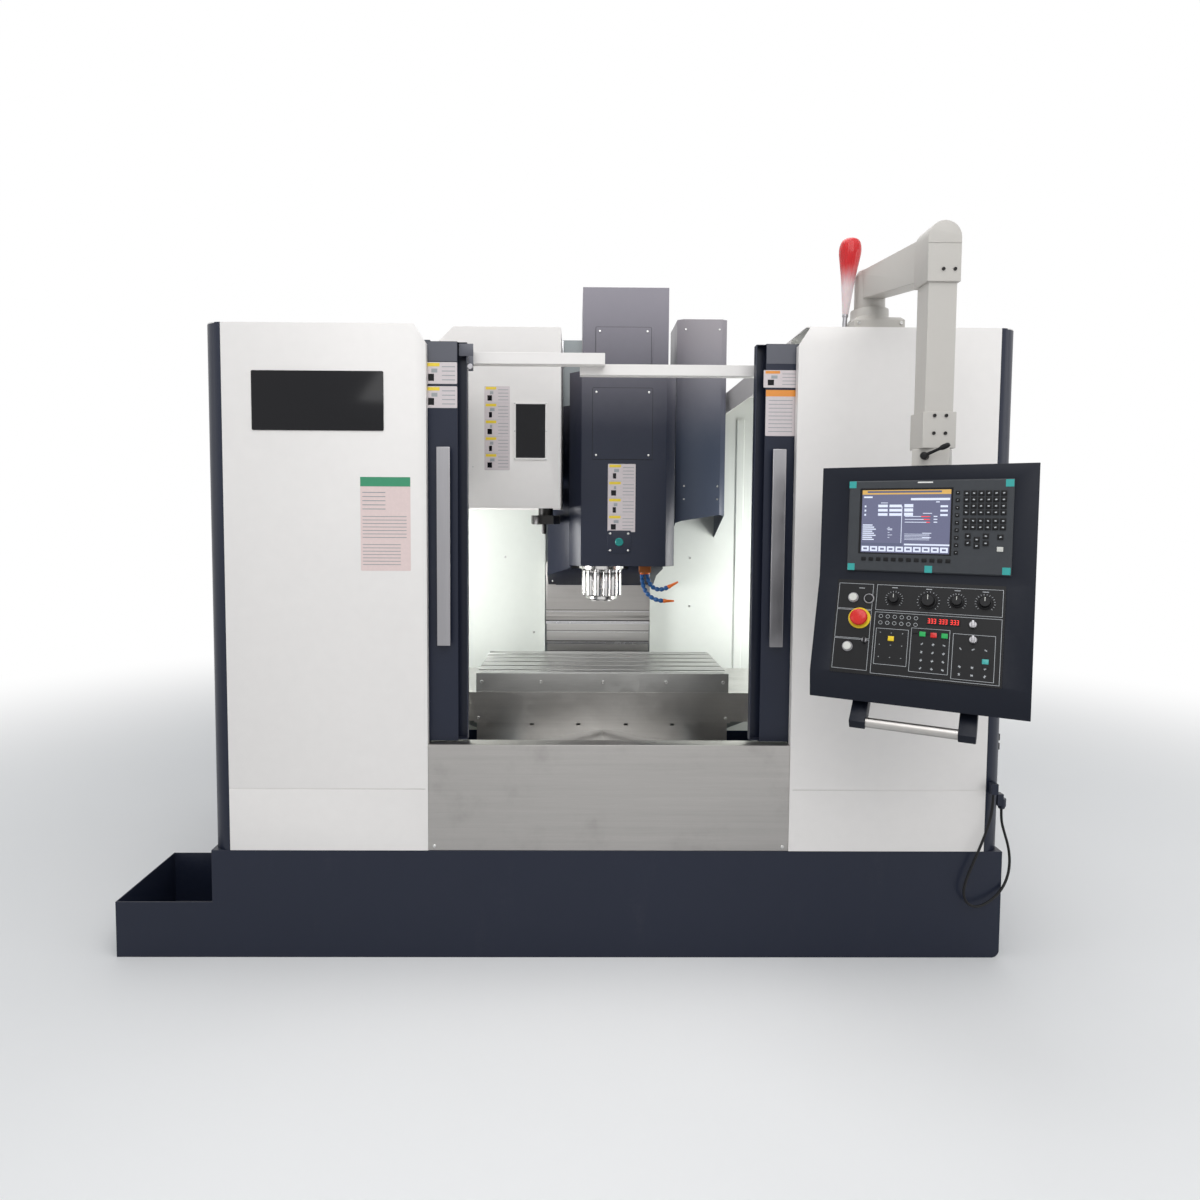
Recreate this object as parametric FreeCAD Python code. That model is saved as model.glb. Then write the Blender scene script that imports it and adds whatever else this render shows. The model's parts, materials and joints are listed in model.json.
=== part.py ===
import FreeCAD, Part
import math
import os

# Vertical machining centre, in millimetres. +X is to the right of a person at the doors,
# +Y goes to the back and +Z is up. The origin is on the floor under the spindle axis.

V = FreeCAD.Vector
X_AXIS, Y_AXIS, Z_AXIS = V(1, 0, 0), V(0, 1, 0), V(0, 0, 1)

# ---- driving dimensions ----------------------------------------------------
RUN = 0.1                    # running gap of guides
REST = 0.3                   # gap of a loose seat
SHEET = 3.0                  # enclosure sheet
HALF_WIDTH = 1255.0          # enclosure
FRONT = -840.0               # front face of the enclosure
WALL_Y = 545.0               # front face of the back wall
TOP = 1991.0                 # enclosure height

BASE_H = 348.0               # coolant base
BASE_BACK = 1260.0
BASE_SHEET = 4.0
TRAY_OUT = 306.0             # chip tray beside the base
TRAY_DEPTH = 360.0
TRAY_H = 180.0

FOOT_X = (-300.0, 300.0)
FOOT_Y = (-620.0, 200.0, 1060.0)
FOOT_H = 110.0

BED_HALF = 380.0
BED_FRONT = -763.0
BED_BACK = 1210.0
BED_TOP = 466.0

RAIL_W = 34.0                # linear guide rail
RAIL_H = 34.0
CAR_W = 88.0                 # linear guide carriage
CAR_L = 110.0
CAR_H = 48.0
Y_RAIL_X = 250.0
Z_RAIL_X = 190.0
X_RAIL_DY = 130.0
SCREW_R = 16.0               # ball screws

SADDLE_Y = 40.0              # saddle and table centre at rest
SADDLE_HALF_X = 640.0
SADDLE_HALF_Y = 200.0
SADDLE_H = 150.0

TABLE_HALF_X = 500.0
TABLE_HALF_Y = 250.0
TABLE_T = 75.0
SLOT_COUNT = 5
SLOT_PITCH = 90.0
SLOT_W = 18.0
SLOT_NECK = 18.0
SLOT_FOOT_W = 30.0
SLOT_FOOT_H = 13.0

COLUMN_FACE = 560.0
COLUMN_BACK = 1210.0
COLUMN_HALF = 255.0
COLUMN_FOOT_HALF = 430.0
COLUMN_TOP = 2260.0
TUNNEL_HALF = 325.0
TUNNEL_TOP = 720.0
SCREW_BLOCK_Y = 514.0        # front of the head screw's bearing blocks
SCREW_BLOCK_HALF = 44.0
SCREW_BLOCK_H = 50.0
Z_SCREW_Y = 535.0
Z_RAIL_LOW = 1010.0
WEB_HALF = 45.0              # slot in the column behind the head screw
WEB_DEPTH = 30.0
WEB_LOW = 1000.0

HEAD_BOTTOM = 1230.0
CARTRIDGE_R = 75.0
SPINDLE_R = 48.0
NOSE_BOTTOM = 1066.0
BOSS_COUNT = 12
COVER_FRONT = -210.0
COVER_BOTTOM = 1212.0
COVER_TOP = 1970.0
MOTOR_COVER_TOP = 2290.0

OPENING_HALF = 571.0         # between the front panels
POST_R = 60.0
LOWER_TOP = 688.0            # stainless lower panel
SEAM_Z = 546.0

DOOR_EDGE = 451.0            # leading edge of an open door
DOOR_W = 644.0
DOOR_FRONT = -808.0
DOOR_T = 43.0
DOOR_BOTTOM = 692.0
DOOR_TOP = 1945.0
LEFT_RAIL_TOP = 1923.0       # the doors' top rails
RIGHT_RAIL_TOP = 1897.0
LEFT_RAIL_END = -20.0
RIGHT_RAIL_END = -99.0
RAIL_Y = (-760.0, -715.0, -675.0)
STRIP_X = 690.0              # stiffening strips on the back wall

ARM_X = 822.0                # operator arm
ARM_Y = -740.0
ARM_REACH = 464.0
PANEL_YAW = 31.0
PANEL_W = 515.0
PANEL_TOP = 1543.0
SLEEVE_BOTTOM = 1587.0
SLEEVE_TOP = 1680.0
LEVER_Z = 1567.0
LEVER_X = -12.0


# ---- helpers ---------------------------------------------------------------
def box(x0, x1, y0, y1, z0, z1):
    """A block between two corners."""
    return Part.makeBox(x1 - x0, y1 - y0, z1 - z0, V(x0, y0, z0))


def rod(radius, start, axis, length):
    """A cylinder from a point along an axis."""
    return Part.makeCylinder(radius, length, start, axis)


def prism(points, direction):
    """A polygon pushed along a direction."""
    return Part.Face(Part.makePolygon(points + points[:1])).extrude(direction)


def prism_x(points, x0, x1):
    """Outline in (y, z), pushed along X."""
    return prism([V(x0, y, z) for y, z in points], V(x1 - x0, 0, 0))


def prism_y(points, y0, y1):
    """Outline in (x, z), pushed along Y."""
    return prism([V(x, y0, z) for x, z in points], V(0, y1 - y0, 0))


def prism_z(points, z0, z1):
    """Outline in (x, y), pushed along Z."""
    return prism([V(x, y, z0) for x, y in points], V(0, 0, z1 - z0))


def ring(radius, sides, height):
    """Corners of a regular outline at a height."""
    return [V(radius * math.cos(2 * math.pi * k / sides), radius * math.sin(2 * math.pi * k / sides), height)
            for k in range(sides)]


def fluted(profile, sides, start, axis):
    """A profile of (radius, height) with flat sides, for knobs and small moulded pieces."""
    rings = [ring(radius, sides, height) for radius, height in profile]
    faces = [Part.Face(Part.makePolygon(end + end[:1])) for end in (rings[0], rings[-1])]
    for low, high in zip(rings, rings[1:]):
        for k in range(sides):
            corners = [low[k], low[(k + 1) % sides], high[(k + 1) % sides], high[k]]
            faces.append(Part.Face(Part.makePolygon(corners + corners[:1])))
    solid = Part.makeSolid(Part.makeShell(faces))
    if solid.Volume < 0:
        solid.reverse()
    solid.Placement = FreeCAD.Placement(start, FreeCAD.Rotation(Z_AXIS, axis))
    return solid


def fuse(first, *others):
    """One solid from touching ones."""
    return first.fuse(list(others)).removeSplitter() if others else first


def cut(solid, *tools):
    """A solid with tools taken out."""
    return solid.cut(list(tools)).removeSplitter() if tools else solid


def mirror_x(shape):
    """The same piece on the other side of the spindle."""
    return shape.mirror(V(0, 0, 0), X_AXIS)


def inset(points, wall):
    """A convex or L-shaped outline drawn in by a wall, corners mitred."""
    count = len(points)
    area = sum(points[k][0] * points[(k + 1) % count][1]
               - points[(k + 1) % count][0] * points[k][1] for k in range(count))
    side = 1 if area > 0 else -1
    result = []
    for k in range(count):
        a, b, c = points[k - 1], points[k], points[(k + 1) % count]
        d1 = V(b[0] - a[0], b[1] - a[1], 0).normalize()
        d2 = V(c[0] - b[0], c[1] - b[1], 0).normalize()
        n1 = V(-d1.y * side, d1.x * side, 0)
        n2 = V(-d2.y * side, d2.x * side, 0)
        mitre = (n1 + n2) * (wall / (1 + n1.dot(n2)))
        result.append((b[0] + mitre.x, b[1] + mitre.y))
    return result


def strip(points, wall, side):
    """An open folded line of (u, v) points given a wall on one side, as a closed outline."""
    shifted = []
    for k, point in enumerate(points):
        before = points[max(k - 1, 0)]
        after = points[min(k + 1, len(points) - 1)]
        d1 = V(point[0] - before[0], point[1] - before[1], 0)
        d2 = V(after[0] - point[0], after[1] - point[1], 0)
        d1 = d1.normalize() if d1.Length > 0 else V(d2).normalize()
        d2 = d2.normalize() if d2.Length > 0 else V(d1)
        n1 = V(-d1.y, d1.x, 0) * side
        n2 = V(-d2.y, d2.x, 0) * side
        mitre = (n1 + n2) * (wall / (1 + n1.dot(n2)))
        shifted.append((point[0] + mitre.x, point[1] + mitre.y))
    return points + shifted[::-1]


def placed(shape, origin, right, up):
    """A piece drawn in (right, up, out) put on a face."""
    out = right.cross(up)
    matrix = FreeCAD.Matrix(right.x, up.x, out.x, origin.x, right.y, up.y, out.y, origin.y,
                            right.z, up.z, out.z, origin.z, 0, 0, 0, 1)
    return shape.transformed(matrix)


def carriage(centre, along, away):
    """A guide carriage over a rail: along is the travel, away points off the rail's seat."""
    side = along.cross(away)
    base = centre - along * (CAR_L / 2) - side * (CAR_W / 2) + away * 2.0
    body = Part.makeBox(CAR_L, CAR_W, CAR_H - 2.0)
    gap = RAIL_W + 2 * RUN
    groove = Part.makeBox(CAR_L + 2, gap, RAIL_H - 2.0 + RUN, V(-1, (CAR_W - gap) / 2, 0))
    body = body.cut(groove)
    matrix = FreeCAD.Matrix(along.x, side.x, away.x, base.x, along.y, side.y, away.y, base.y,
                            along.z, side.z, away.z, base.z, 0, 0, 0, 1)
    return body.transformed(matrix)


PARTS = {}


# ---- base, bed and column --------------------------------------------------
def make_base():
    outer = box(-HALF_WIDTH, HALF_WIDTH, FRONT, BASE_BACK, 0, BASE_H)
    edges = [e for e in outer.Edges if abs(e.CenterOfMass.x - HALF_WIDTH) < 1
             and e.CenterOfMass.z < 1 and abs(e.CenterOfMass.y - (FRONT + BASE_BACK) / 2) < 1]
    outer = outer.makeFillet(25.0, edges)
    t = BASE_SHEET
    lip = 34.0
    inner = box(-HALF_WIDTH + t, HALF_WIDTH - t, FRONT + t, BASE_BACK - t, t, BASE_H - t)
    inner_edges = [e for e in inner.Edges if abs(e.CenterOfMass.x - HALF_WIDTH + t) < 1
                   and e.CenterOfMass.z < t + 1 and abs(e.CenterOfMass.y - (FRONT + BASE_BACK) / 2) < 1]
    inner = inner.makeFillet(25.0 - t, inner_edges)
    mouth = box(-HALF_WIDTH + lip, HALF_WIDTH - lip, FRONT + lip, BASE_BACK - lip, BASE_H - 2 * t, BASE_H + 1)
    tray_x = -HALF_WIDTH - TRAY_OUT
    tray = box(tray_x, -HALF_WIDTH, FRONT, FRONT + TRAY_DEPTH, 0, TRAY_H)
    tray_in = box(tray_x + t, -HALF_WIDTH, FRONT + t, FRONT + TRAY_DEPTH - t, t, TRAY_H + 1)
    chute = box(-HALF_WIDTH - 1, -HALF_WIDTH + t + 1, FRONT + 40, FRONT + TRAY_DEPTH - 40, 20, TRAY_H - 24)
    holes = [box(x - 58, x + 58, y - 58, y + 58, -1, t + 1) for x in FOOT_X for y in FOOT_Y]
    PARTS["coolant_base"] = cut(fuse(outer, tray), inner, mouth, tray_in, chute, *holes)


def make_feet():
    feet = []
    for x in FOOT_X:
        for y in FOOT_Y:
            pad = fluted([(50, 0), (50, 14), (24, 26)], 8, V(x, y, 0), Z_AXIS)
            bolt = fluted([(15, 20), (15, FOOT_H)], 6, V(x, y, 0), Z_AXIS)
            nut = fluted([(27, FOOT_H - 22), (27, FOOT_H)], 6, V(x, y, 0), Z_AXIS)
            feet.append(fuse(pad, bolt, nut))
    PARTS["levelling_feet"] = Part.makeCompound(feet)


def make_bed():
    outline = [(-BED_HALF, BED_FRONT), (BED_HALF, BED_FRONT), (BED_HALF, 480),
               (COLUMN_FOOT_HALF, 560), (COLUMN_FOOT_HALF, BED_BACK),
               (-COLUMN_FOOT_HALF, BED_BACK), (-COLUMN_FOOT_HALF, 560), (-BED_HALF, 480)]
    bed = prism_z(outline, FOOT_H, BED_TOP)
    web, pocket_w = 32.0, 208.0
    pockets = []
    for row in range(3):
        x = (row - 1) * (pocket_w + web)
        for k in range(7):
            y = BED_FRONT + 60 + k * 270.0
            pockets.append(box(x - pocket_w / 2, x + pocket_w / 2, y, y + 230, FOOT_H - 1, BED_TOP - 60))
    windows = []
    for k in range(3):
        y = BED_FRONT + 110 + k * 540.0
        for x in (-COLUMN_FOOT_HALF, COLUMN_FOOT_HALF):
            windows.append(box(x - 90, x + 90, y + 15, y + 115, FOOT_H + 90, FOOT_H + 190))
    lugs = [box(x - 60, x + 60, y - 60, y + 60, FOOT_H, FOOT_H + 60) for x in FOOT_X for y in FOOT_Y]
    motor_pocket = box(-62, 62, 500, 730, 410, BED_TOP + 1)
    chip_ways = [box(x0, x0 + 60, BED_FRONT - 1, 470, BED_TOP - 40, BED_TOP + 1) for x0 in (-190, 130)]
    bed = cut(bed, *pockets, *windows, motor_pocket, *chip_ways)
    screw = rod(SCREW_R, V(0, BED_FRONT + 73, BED_TOP + 26), Y_AXIS, 1190)
    blocks = [box(-55, 55, y, y + 60, BED_TOP, BED_TOP + 66) for y in (BED_FRONT + 18, 440)]
    PARTS["bed_casting"] = fuse(bed, *lugs, screw, *blocks)


def make_rails():
    rails = [box(x - RAIL_W / 2, x + RAIL_W / 2, -480, 500, BED_TOP, BED_TOP + RAIL_H)
             for x in (-Y_RAIL_X, Y_RAIL_X)]
    rails += [box(x - RAIL_W / 2, x + RAIL_W / 2, COLUMN_FACE - RAIL_H, COLUMN_FACE, Z_RAIL_LOW,
                  COLUMN_TOP - 10)
              for x in (-Z_RAIL_X, Z_RAIL_X)]
    low, high = WEB_LOW, COLUMN_TOP - SCREW_BLOCK_H
    blocks = [box(-SCREW_BLOCK_HALF, SCREW_BLOCK_HALF, SCREW_BLOCK_Y, COLUMN_FACE + depth, z,
                  z + SCREW_BLOCK_H)
              for z, depth in ((low, WEB_DEPTH), (high, 0))]
    screw = rod(SCREW_R, V(0, Z_SCREW_Y, low + SCREW_BLOCK_H), Z_AXIS, high - low - SCREW_BLOCK_H)
    PARTS["fixed_guide_rails"] = Part.makeCompound([*rails, screw, *blocks])


def make_column():
    h, f = COLUMN_HALF, COLUMN_FOOT_HALF
    outline = [(-f, BED_TOP), (f, BED_TOP), (f, 780), (h, 1120), (h, COLUMN_TOP),
               (-h, COLUMN_TOP), (-h, 1120), (-f, 780)]
    body = prism_y(outline, COLUMN_FACE, COLUMN_BACK)
    t = TUNNEL_HALF
    tunnel = prism_y([(-t, BED_TOP - 1), (t, BED_TOP - 1), (t, TUNNEL_TOP - 80), (t - 80, TUNNEL_TOP),
                      (80 - t, TUNNEL_TOP), (-t, TUNNEL_TOP - 80)], COLUMN_FACE - 1, COLUMN_BACK + 1)
    pockets = []
    for x in (-118, 118):
        for k in range(5):
            z = 1150 + k * 212.0
            pockets.append(box(x - 95, x + 95, COLUMN_FACE + 120, COLUMN_BACK + 1, z, z + 180))
    web_slot = box(-WEB_HALF, WEB_HALF, COLUMN_FACE - 1, COLUMN_FACE + WEB_DEPTH, WEB_LOW, COLUMN_TOP - 60)
    PARTS["column_casting"] = cut(body, tunnel, web_slot, *pockets)


def servo(size, length):
    """A servo motor along +Z: flange, body, end cap and two connectors."""
    h = size / 2
    body = box(-h * 0.92, h * 0.92, -h * 0.92, h * 0.92, 12, length - 40)
    flange = box(-h, h, -h, h, 0, 12)
    cap = box(-h * 0.8, h * 0.8, -h * 0.8, h * 0.8, length - 40, length)
    plugs = box(-16, 16, h * 0.7, h * 0.7 + 40, length - 90, length - 50)
    return fuse(body, flange, cap, plugs)


def make_axis_motors():
    z_motor = servo(130, 190)
    z_motor.translate(V(0, Z_SCREW_Y, COLUMN_TOP))
    z_seat = box(-65, 65, COLUMN_FACE, 640, COLUMN_TOP, COLUMN_TOP + 12)
    y_motor = servo(100, 190)
    y_motor.rotate(V(0, 0, 0), X_AXIS, -90)
    y_motor.translate(V(0, 500, 492))
    PARTS["axis_motors"] = Part.makeCompound([fuse(z_motor, z_seat), y_motor])


# ---- saddle, table and their covers ---------------------------------------
SADDLE_BOTTOM = BED_TOP + CAR_H
SADDLE_TOP = SADDLE_BOTTOM + SADDLE_H
TABLE_BOTTOM = SADDLE_TOP + CAR_H
TABLE_TOP = TABLE_BOTTOM + TABLE_T
X_SCREW_Z = SADDLE_TOP + 22
COVER_T = 2.5                # way cover sheet
COVER_GAP = 0.5
STEP = COVER_T + COVER_GAP


def make_saddle():
    y0, y1 = SADDLE_Y - SADDLE_HALF_Y, SADDLE_Y + SADDLE_HALF_Y
    profile = [(-SADDLE_HALF_X, SADDLE_TOP), (-SADDLE_HALF_X, SADDLE_TOP - 55),
               (-400, SADDLE_BOTTOM), (400, SADDLE_BOTTOM),
               (SADDLE_HALF_X, SADDLE_TOP - 55), (SADDLE_HALF_X, SADDLE_TOP)]
    body = prism_y(profile, y0, y1)
    pockets = [box(x - 55, x + 55, SADDLE_Y - 70, SADDLE_Y + 70, SADDLE_BOTTOM + 40, SADDLE_TOP + 1)
               for x in (-480, -330, -180, 180, 330, 480)]
    body = cut(body, *pockets)
    cars = [carriage(V(x, SADDLE_Y + dy, BED_TOP), Y_AXIS, Z_AXIS)
            for x in (-Y_RAIL_X, Y_RAIL_X) for dy in (-130, 130)]
    nut = cut(box(-40, 40, SADDLE_Y - 50, SADDLE_Y + 50, 471, SADDLE_BOTTOM),
              rod(SCREW_R + RUN, V(0, SADDLE_Y - 51, 492), Y_AXIS, 102))
    screw = rod(SCREW_R, V(-610, SADDLE_Y, X_SCREW_Z), X_AXIS, 1220)
    blocks = [box(x, x + 36, SADDLE_Y - 36, SADDLE_Y + 36, SADDLE_TOP, X_SCREW_Z + SCREW_R)
              for x in (-SADDLE_HALF_X, SADDLE_HALF_X - 36)]
    motor = servo(88, 150)
    motor.rotate(V(0, 0, 0), Y_AXIS, 90)
    motor.translate(V(SADDLE_HALF_X + 4, SADDLE_Y, SADDLE_TOP - 10))
    PARTS["saddle_casting"] = Part.makeCompound([fuse(body, *cars, nut, screw, *blocks), motor])
    rails = [box(-600, 600, SADDLE_Y + dy - RAIL_W / 2, SADDLE_Y + dy + RAIL_W / 2,
                 SADDLE_TOP, SADDLE_TOP + RAIL_H) for dy in (-X_RAIL_DY, X_RAIL_DY)]
    PARTS["x_guide_rails"] = Part.makeCompound(rails)


def make_table():
    x1, y0, y1 = TABLE_HALF_X, SADDLE_Y - TABLE_HALF_Y, SADDLE_Y + TABLE_HALF_Y
    body = box(-x1, x1, y0, y1, TABLE_BOTTOM, TABLE_TOP)
    slots = []
    for k in range(SLOT_COUNT):
        y = SADDLE_Y + (k - (SLOT_COUNT - 1) / 2) * SLOT_PITCH
        slots.append(box(-x1 - 1, x1 + 1, y - SLOT_W / 2, y + SLOT_W / 2, TABLE_TOP - SLOT_NECK - 1,
                         TABLE_TOP + 1))
        slots.append(box(-x1 - 1, x1 + 1, y - SLOT_FOOT_W / 2, y + SLOT_FOOT_W / 2,
                         TABLE_TOP - SLOT_NECK - SLOT_FOOT_H, TABLE_TOP - SLOT_NECK))
    gutters = [box(-x1 + 14, x1 - 14, y - 5, y + 5, TABLE_TOP - 8, TABLE_TOP + 1) for y in (y0 + 18, y1 - 18)]
    body = cut(body, *slots, *gutters)
    cars = [carriage(V(x, SADDLE_Y + dy, SADDLE_TOP), X_AXIS, Z_AXIS)
            for x in (-150, 150) for dy in (-X_RAIL_DY, X_RAIL_DY)]
    nut = cut(box(-50, 50, SADDLE_Y - 40, SADDLE_Y + 40, SADDLE_TOP + 2, TABLE_BOTTOM),
              rod(SCREW_R + RUN, V(-51, SADDLE_Y, X_SCREW_Z), X_AXIS, 102))
    PARTS["work_table"] = fuse(body, *cars, nut)


def x_stage(stage, x0, x1, skirt):
    """A stage of the X way cover on the right: a top plate with front and rear skirts."""
    off = stage * STEP
    y0 = SADDLE_Y - TABLE_HALF_Y - 1 + off
    y1 = SADDLE_Y + TABLE_HALF_Y + 1 - off
    z1 = TABLE_BOTTOM - 1 - off
    fold = strip([(y0, skirt), (y0, z1), (y1, z1), (y1, skirt)], COVER_T, -1)
    return prism_x(fold, x0, x1)


def make_x_covers():
    length = 345.0
    lower = 596.0
    stage = x_stage(0, TABLE_HALF_X, TABLE_HALF_X + length, lower)
    flange = box(TABLE_HALF_X, TABLE_HALF_X + COVER_T, SADDLE_Y - TABLE_HALF_Y + 20,
                 SADDLE_Y + TABLE_HALF_Y - 20, TABLE_BOTTOM - 2, TABLE_BOTTOM + 26)
    right = fuse(stage, flange)
    y0 = SADDLE_Y - TABLE_HALF_Y
    apron = box(-TABLE_HALF_X - 8, TABLE_HALF_X + 8, y0 - 1 - COVER_T, y0 - 1, lower - 6, TABLE_BOTTOM - 1)
    apron_lip = box(-TABLE_HALF_X, TABLE_HALF_X, y0 - 1 - COVER_T, y0 + 14, TABLE_BOTTOM - COVER_T,
                    TABLE_BOTTOM)
    PARTS["table_way_covers"] = Part.makeCompound([fuse(apron, apron_lip, right, mirror_x(right))])
    middle = x_stage(1, 530, 530 + length, lower + 4)
    PARTS["x_cover_middle"] = Part.makeCompound([middle, mirror_x(middle)])


Y_STAGE = 256.0
RIDGE_Z = 560.0
RIDGE_SLOPE = 0.18


def ridge(stage, y0, y1, skirt):
    """A stage of the Y way cover: a shallow roof with sides."""
    off = stage * STEP
    half = 330.0 - off
    peak = RIDGE_Z - off
    eave = peak - half * RIDGE_SLOPE
    fold = strip([(-half, skirt), (-half, eave), (0, peak), (half, eave), (half, skirt)], COVER_T, -1)
    return prism_y(fold, y0, y1)


APRON_Y = SADDLE_Y - SADDLE_HALF_Y - 30


def make_y_covers():
    saddle_front = SADDLE_Y - SADDLE_HALF_Y
    top = ridge(0, APRON_Y - Y_STAGE, APRON_Y, 484)
    apron_face = box(-TABLE_HALF_X, TABLE_HALF_X, APRON_Y, APRON_Y + SHEET, 511, 588)
    slots = [box(x - 8, x + 8, APRON_Y - 1, APRON_Y + SHEET + 1, 574, 582) for x in (-280, -95, 95, 280)]
    arms = [box(x, x + 40, APRON_Y + SHEET, saddle_front, 530, 560) for x in (-380, 340)]
    front = cut(fuse(apron_face, top, *arms), *slots)
    rear_y = SADDLE_Y + SADDLE_HALF_Y
    rear = prism_y(strip([(-310, 512), (-310, 577), (310, 577), (310, 512)], COVER_T, -1), rear_y,
                   rear_y + 560)
    rear = fuse(rear, box(-309, 309, rear_y, rear_y + COVER_T, 514.5, 577 - COVER_T))
    end_right = x_stage(2, 612, 957, 604)
    bracket = box(SADDLE_HALF_X, SADDLE_HALF_X + 4, SADDLE_Y - TABLE_HALF_Y - 1 + 2 * STEP,
                  SADDLE_Y + TABLE_HALF_Y + 1 - 2 * STEP, SADDLE_TOP - 55, TABLE_BOTTOM - 1 - 2 * STEP)
    end_right = fuse(end_right, bracket)
    PARTS["saddle_way_covers"] = Part.makeCompound([front, rear, end_right, mirror_x(end_right)])
    mid_start = (APRON_Y - Y_STAGE + (BED_FRONT + SHEET)) / 2
    PARTS["y_cover_middle"] = ridge(1, mid_start, mid_start + Y_STAGE, 484)
    end = ridge(2, BED_FRONT + SHEET, BED_FRONT + SHEET + Y_STAGE, BED_TOP)
    half, peak = 330.0 - 2 * STEP, RIDGE_Z - 2 * STEP
    eave = peak - half * RIDGE_SLOPE
    plate = prism_y([(-half, BED_TOP), (half, BED_TOP), (half, eave), (0, peak), (-half, eave)],
                    BED_FRONT, BED_FRONT + SHEET)
    foot = z_stage(3, Z_FOOT)
    seats = [box(x, x + 33, WALL_Y - 1, COLUMN_FACE, TUNNEL_TOP + 30, TUNNEL_TOP + 70) for x in (-239, 206)]
    return fuse(end, plate), fuse(foot, *seats)


Z_STAGE = 300.0
Z_FOOT = 590.0
Z_FRONT = 470.0


def z_stage(stage, bottom):
    """A stage of the Z way cover: a face plate with returns at its sides and a wiper lip."""
    off = stage * STEP
    half = 250.0 - off
    y = Z_FRONT + off
    fold = strip([(-half, WALL_Y - 1), (-half, y), (half, y), (half, WALL_Y - 1)], COVER_T, 1)
    plate = prism_z(fold, bottom, bottom + Z_STAGE)
    bead = box(-half + 1, half - 1, y - 1.8, y + 0.1, bottom + 30, bottom + 42)
    return fuse(plate, bead) if stage == 0 else plate


def make_z_covers():
    head_bottom = HEAD_BOTTOM - 40 - Z_STAGE
    gap = (head_bottom - Z_FOOT) / 3
    PARTS["z_cover_lower"] = z_stage(2, Z_FOOT + gap)
    PARTS["z_cover_upper"] = z_stage(1, Z_FOOT + 2 * gap)
    y_end, z_foot = make_y_covers()
    PARTS["fixed_way_covers"] = Part.makeCompound([y_end, z_foot])
    return head_bottom


# ---- head ------------------------------------------------------------------
def make_head():
    slide = box(-205, 205, 440, COLUMN_FACE - CAR_H, HEAD_BOTTOM - 40, 1815)
    nose = fluted([(125, HEAD_BOTTOM), (125, 1560)], 24, V(0, 0, 0), Z_AXIS)
    body = box(-125, 125, 0, 450, HEAD_BOTTOM, 1560)
    ribs = [prism_x([(130, 1555), (445, 1555), (445, 1800)], x - 12, x + 12) for x in (-110, 110)]
    bracket = box(-120, 120, -120, 120, 1600, 1640)
    webs = [prism_x([(-120, 1560), (120, 1560), (120, 1600), (-120, 1600)], x - 10, x + 10)
            for x in (-110, 110)]
    casting = fuse(slide, nose, body, *ribs, bracket, *webs)
    cars = [carriage(V(x, COLUMN_FACE, z), Z_AXIS, V(0, -1, 0))
            for x in (-Z_RAIL_X, Z_RAIL_X) for z in (1290, 1770)]
    nut = cut(box(-40, 40, 505, 558, 1460, 1560), rod(SCREW_R + RUN, V(0, 535, 1459), Z_AXIS, 102))
    bore_r = CARTRIDGE_R / math.cos(math.pi / 30)
    bore = fluted([(bore_r, HEAD_BOTTOM - 1), (bore_r, 1650)], 30, V(0, 0, 0), Z_AXIS)
    PARTS["head_casting"] = fuse(cut(casting, bore), *cars, nut)
    cartridge = fluted([(66, NOSE_BOTTOM), (66, 1190), (94, 1190), (94, HEAD_BOTTOM),
                        (CARTRIDGE_R - RUN, HEAD_BOTTOM), (CARTRIDGE_R - RUN, 1540)], 30, V(0, 0, 0), Z_AXIS)
    bosses = []
    for k in range(BOSS_COUNT):
        a = 2 * math.pi * (k + 0.5) / BOSS_COUNT
        centre = V(66 * math.cos(a), 66 * math.sin(a), 0)
        bosses.append(fluted([(15, NOSE_BOTTOM + 12), (19, NOSE_BOTTOM + 18), (19, 1192)], 7, centre, Z_AXIS))
    inner = rod(SPINDLE_R + RUN, V(0, 0, NOSE_BOTTOM - 5), Z_AXIS, 480)
    PARTS["spindle_cartridge"] = cut(fuse(cartridge, *bosses), inner)
    taper = fluted([(22.2, NOSE_BOTTOM - 8), (12.8, NOSE_BOTTOM + 57)], 24, V(0, 0, 0), Z_AXIS)
    shaft = fluted([(SPINDLE_R, NOSE_BOTTOM - 8), (SPINDLE_R, 1545), (24, 1545), (24, 1630)], 32,
                   V(0, 0, 0), Z_AXIS)
    keys = [box(x0, x0 + 18, -8, 8, NOSE_BOTTOM - 14, NOSE_BOTTOM - 8) for x0 in (-42, 24)]
    PARTS["spindle_shaft"] = fuse(cut(shaft, taper), *keys)
    motor = box(-80, 80, -80, 80, 1660, 2030)
    corner = [e for e in motor.Edges if abs(e.tangentAt(0).z) > 0.9]
    motor = motor.makeChamfer(20.0, corner)
    motor = fuse(motor, box(-105, 105, -105, 105, 1640, 1660),
                 fluted([(70, 2030), (70, 2120)], 20, V(0, 0, 0), Z_AXIS))
    motor = cut(motor, fluted([(27, 1639), (27, 1669)], 16, V(0, 0, 0), Z_AXIS))
    PARTS["spindle_motor"] = motor


COVER_PLAN = [(-136, 225), (-136, -160), (-89, COVER_FRONT), (243, COVER_FRONT), (282, -165), (282, 225)]
MOTOR_PLAN = [(-86, 215), (-86, -205), (247, -205), (247, 215)]


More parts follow.
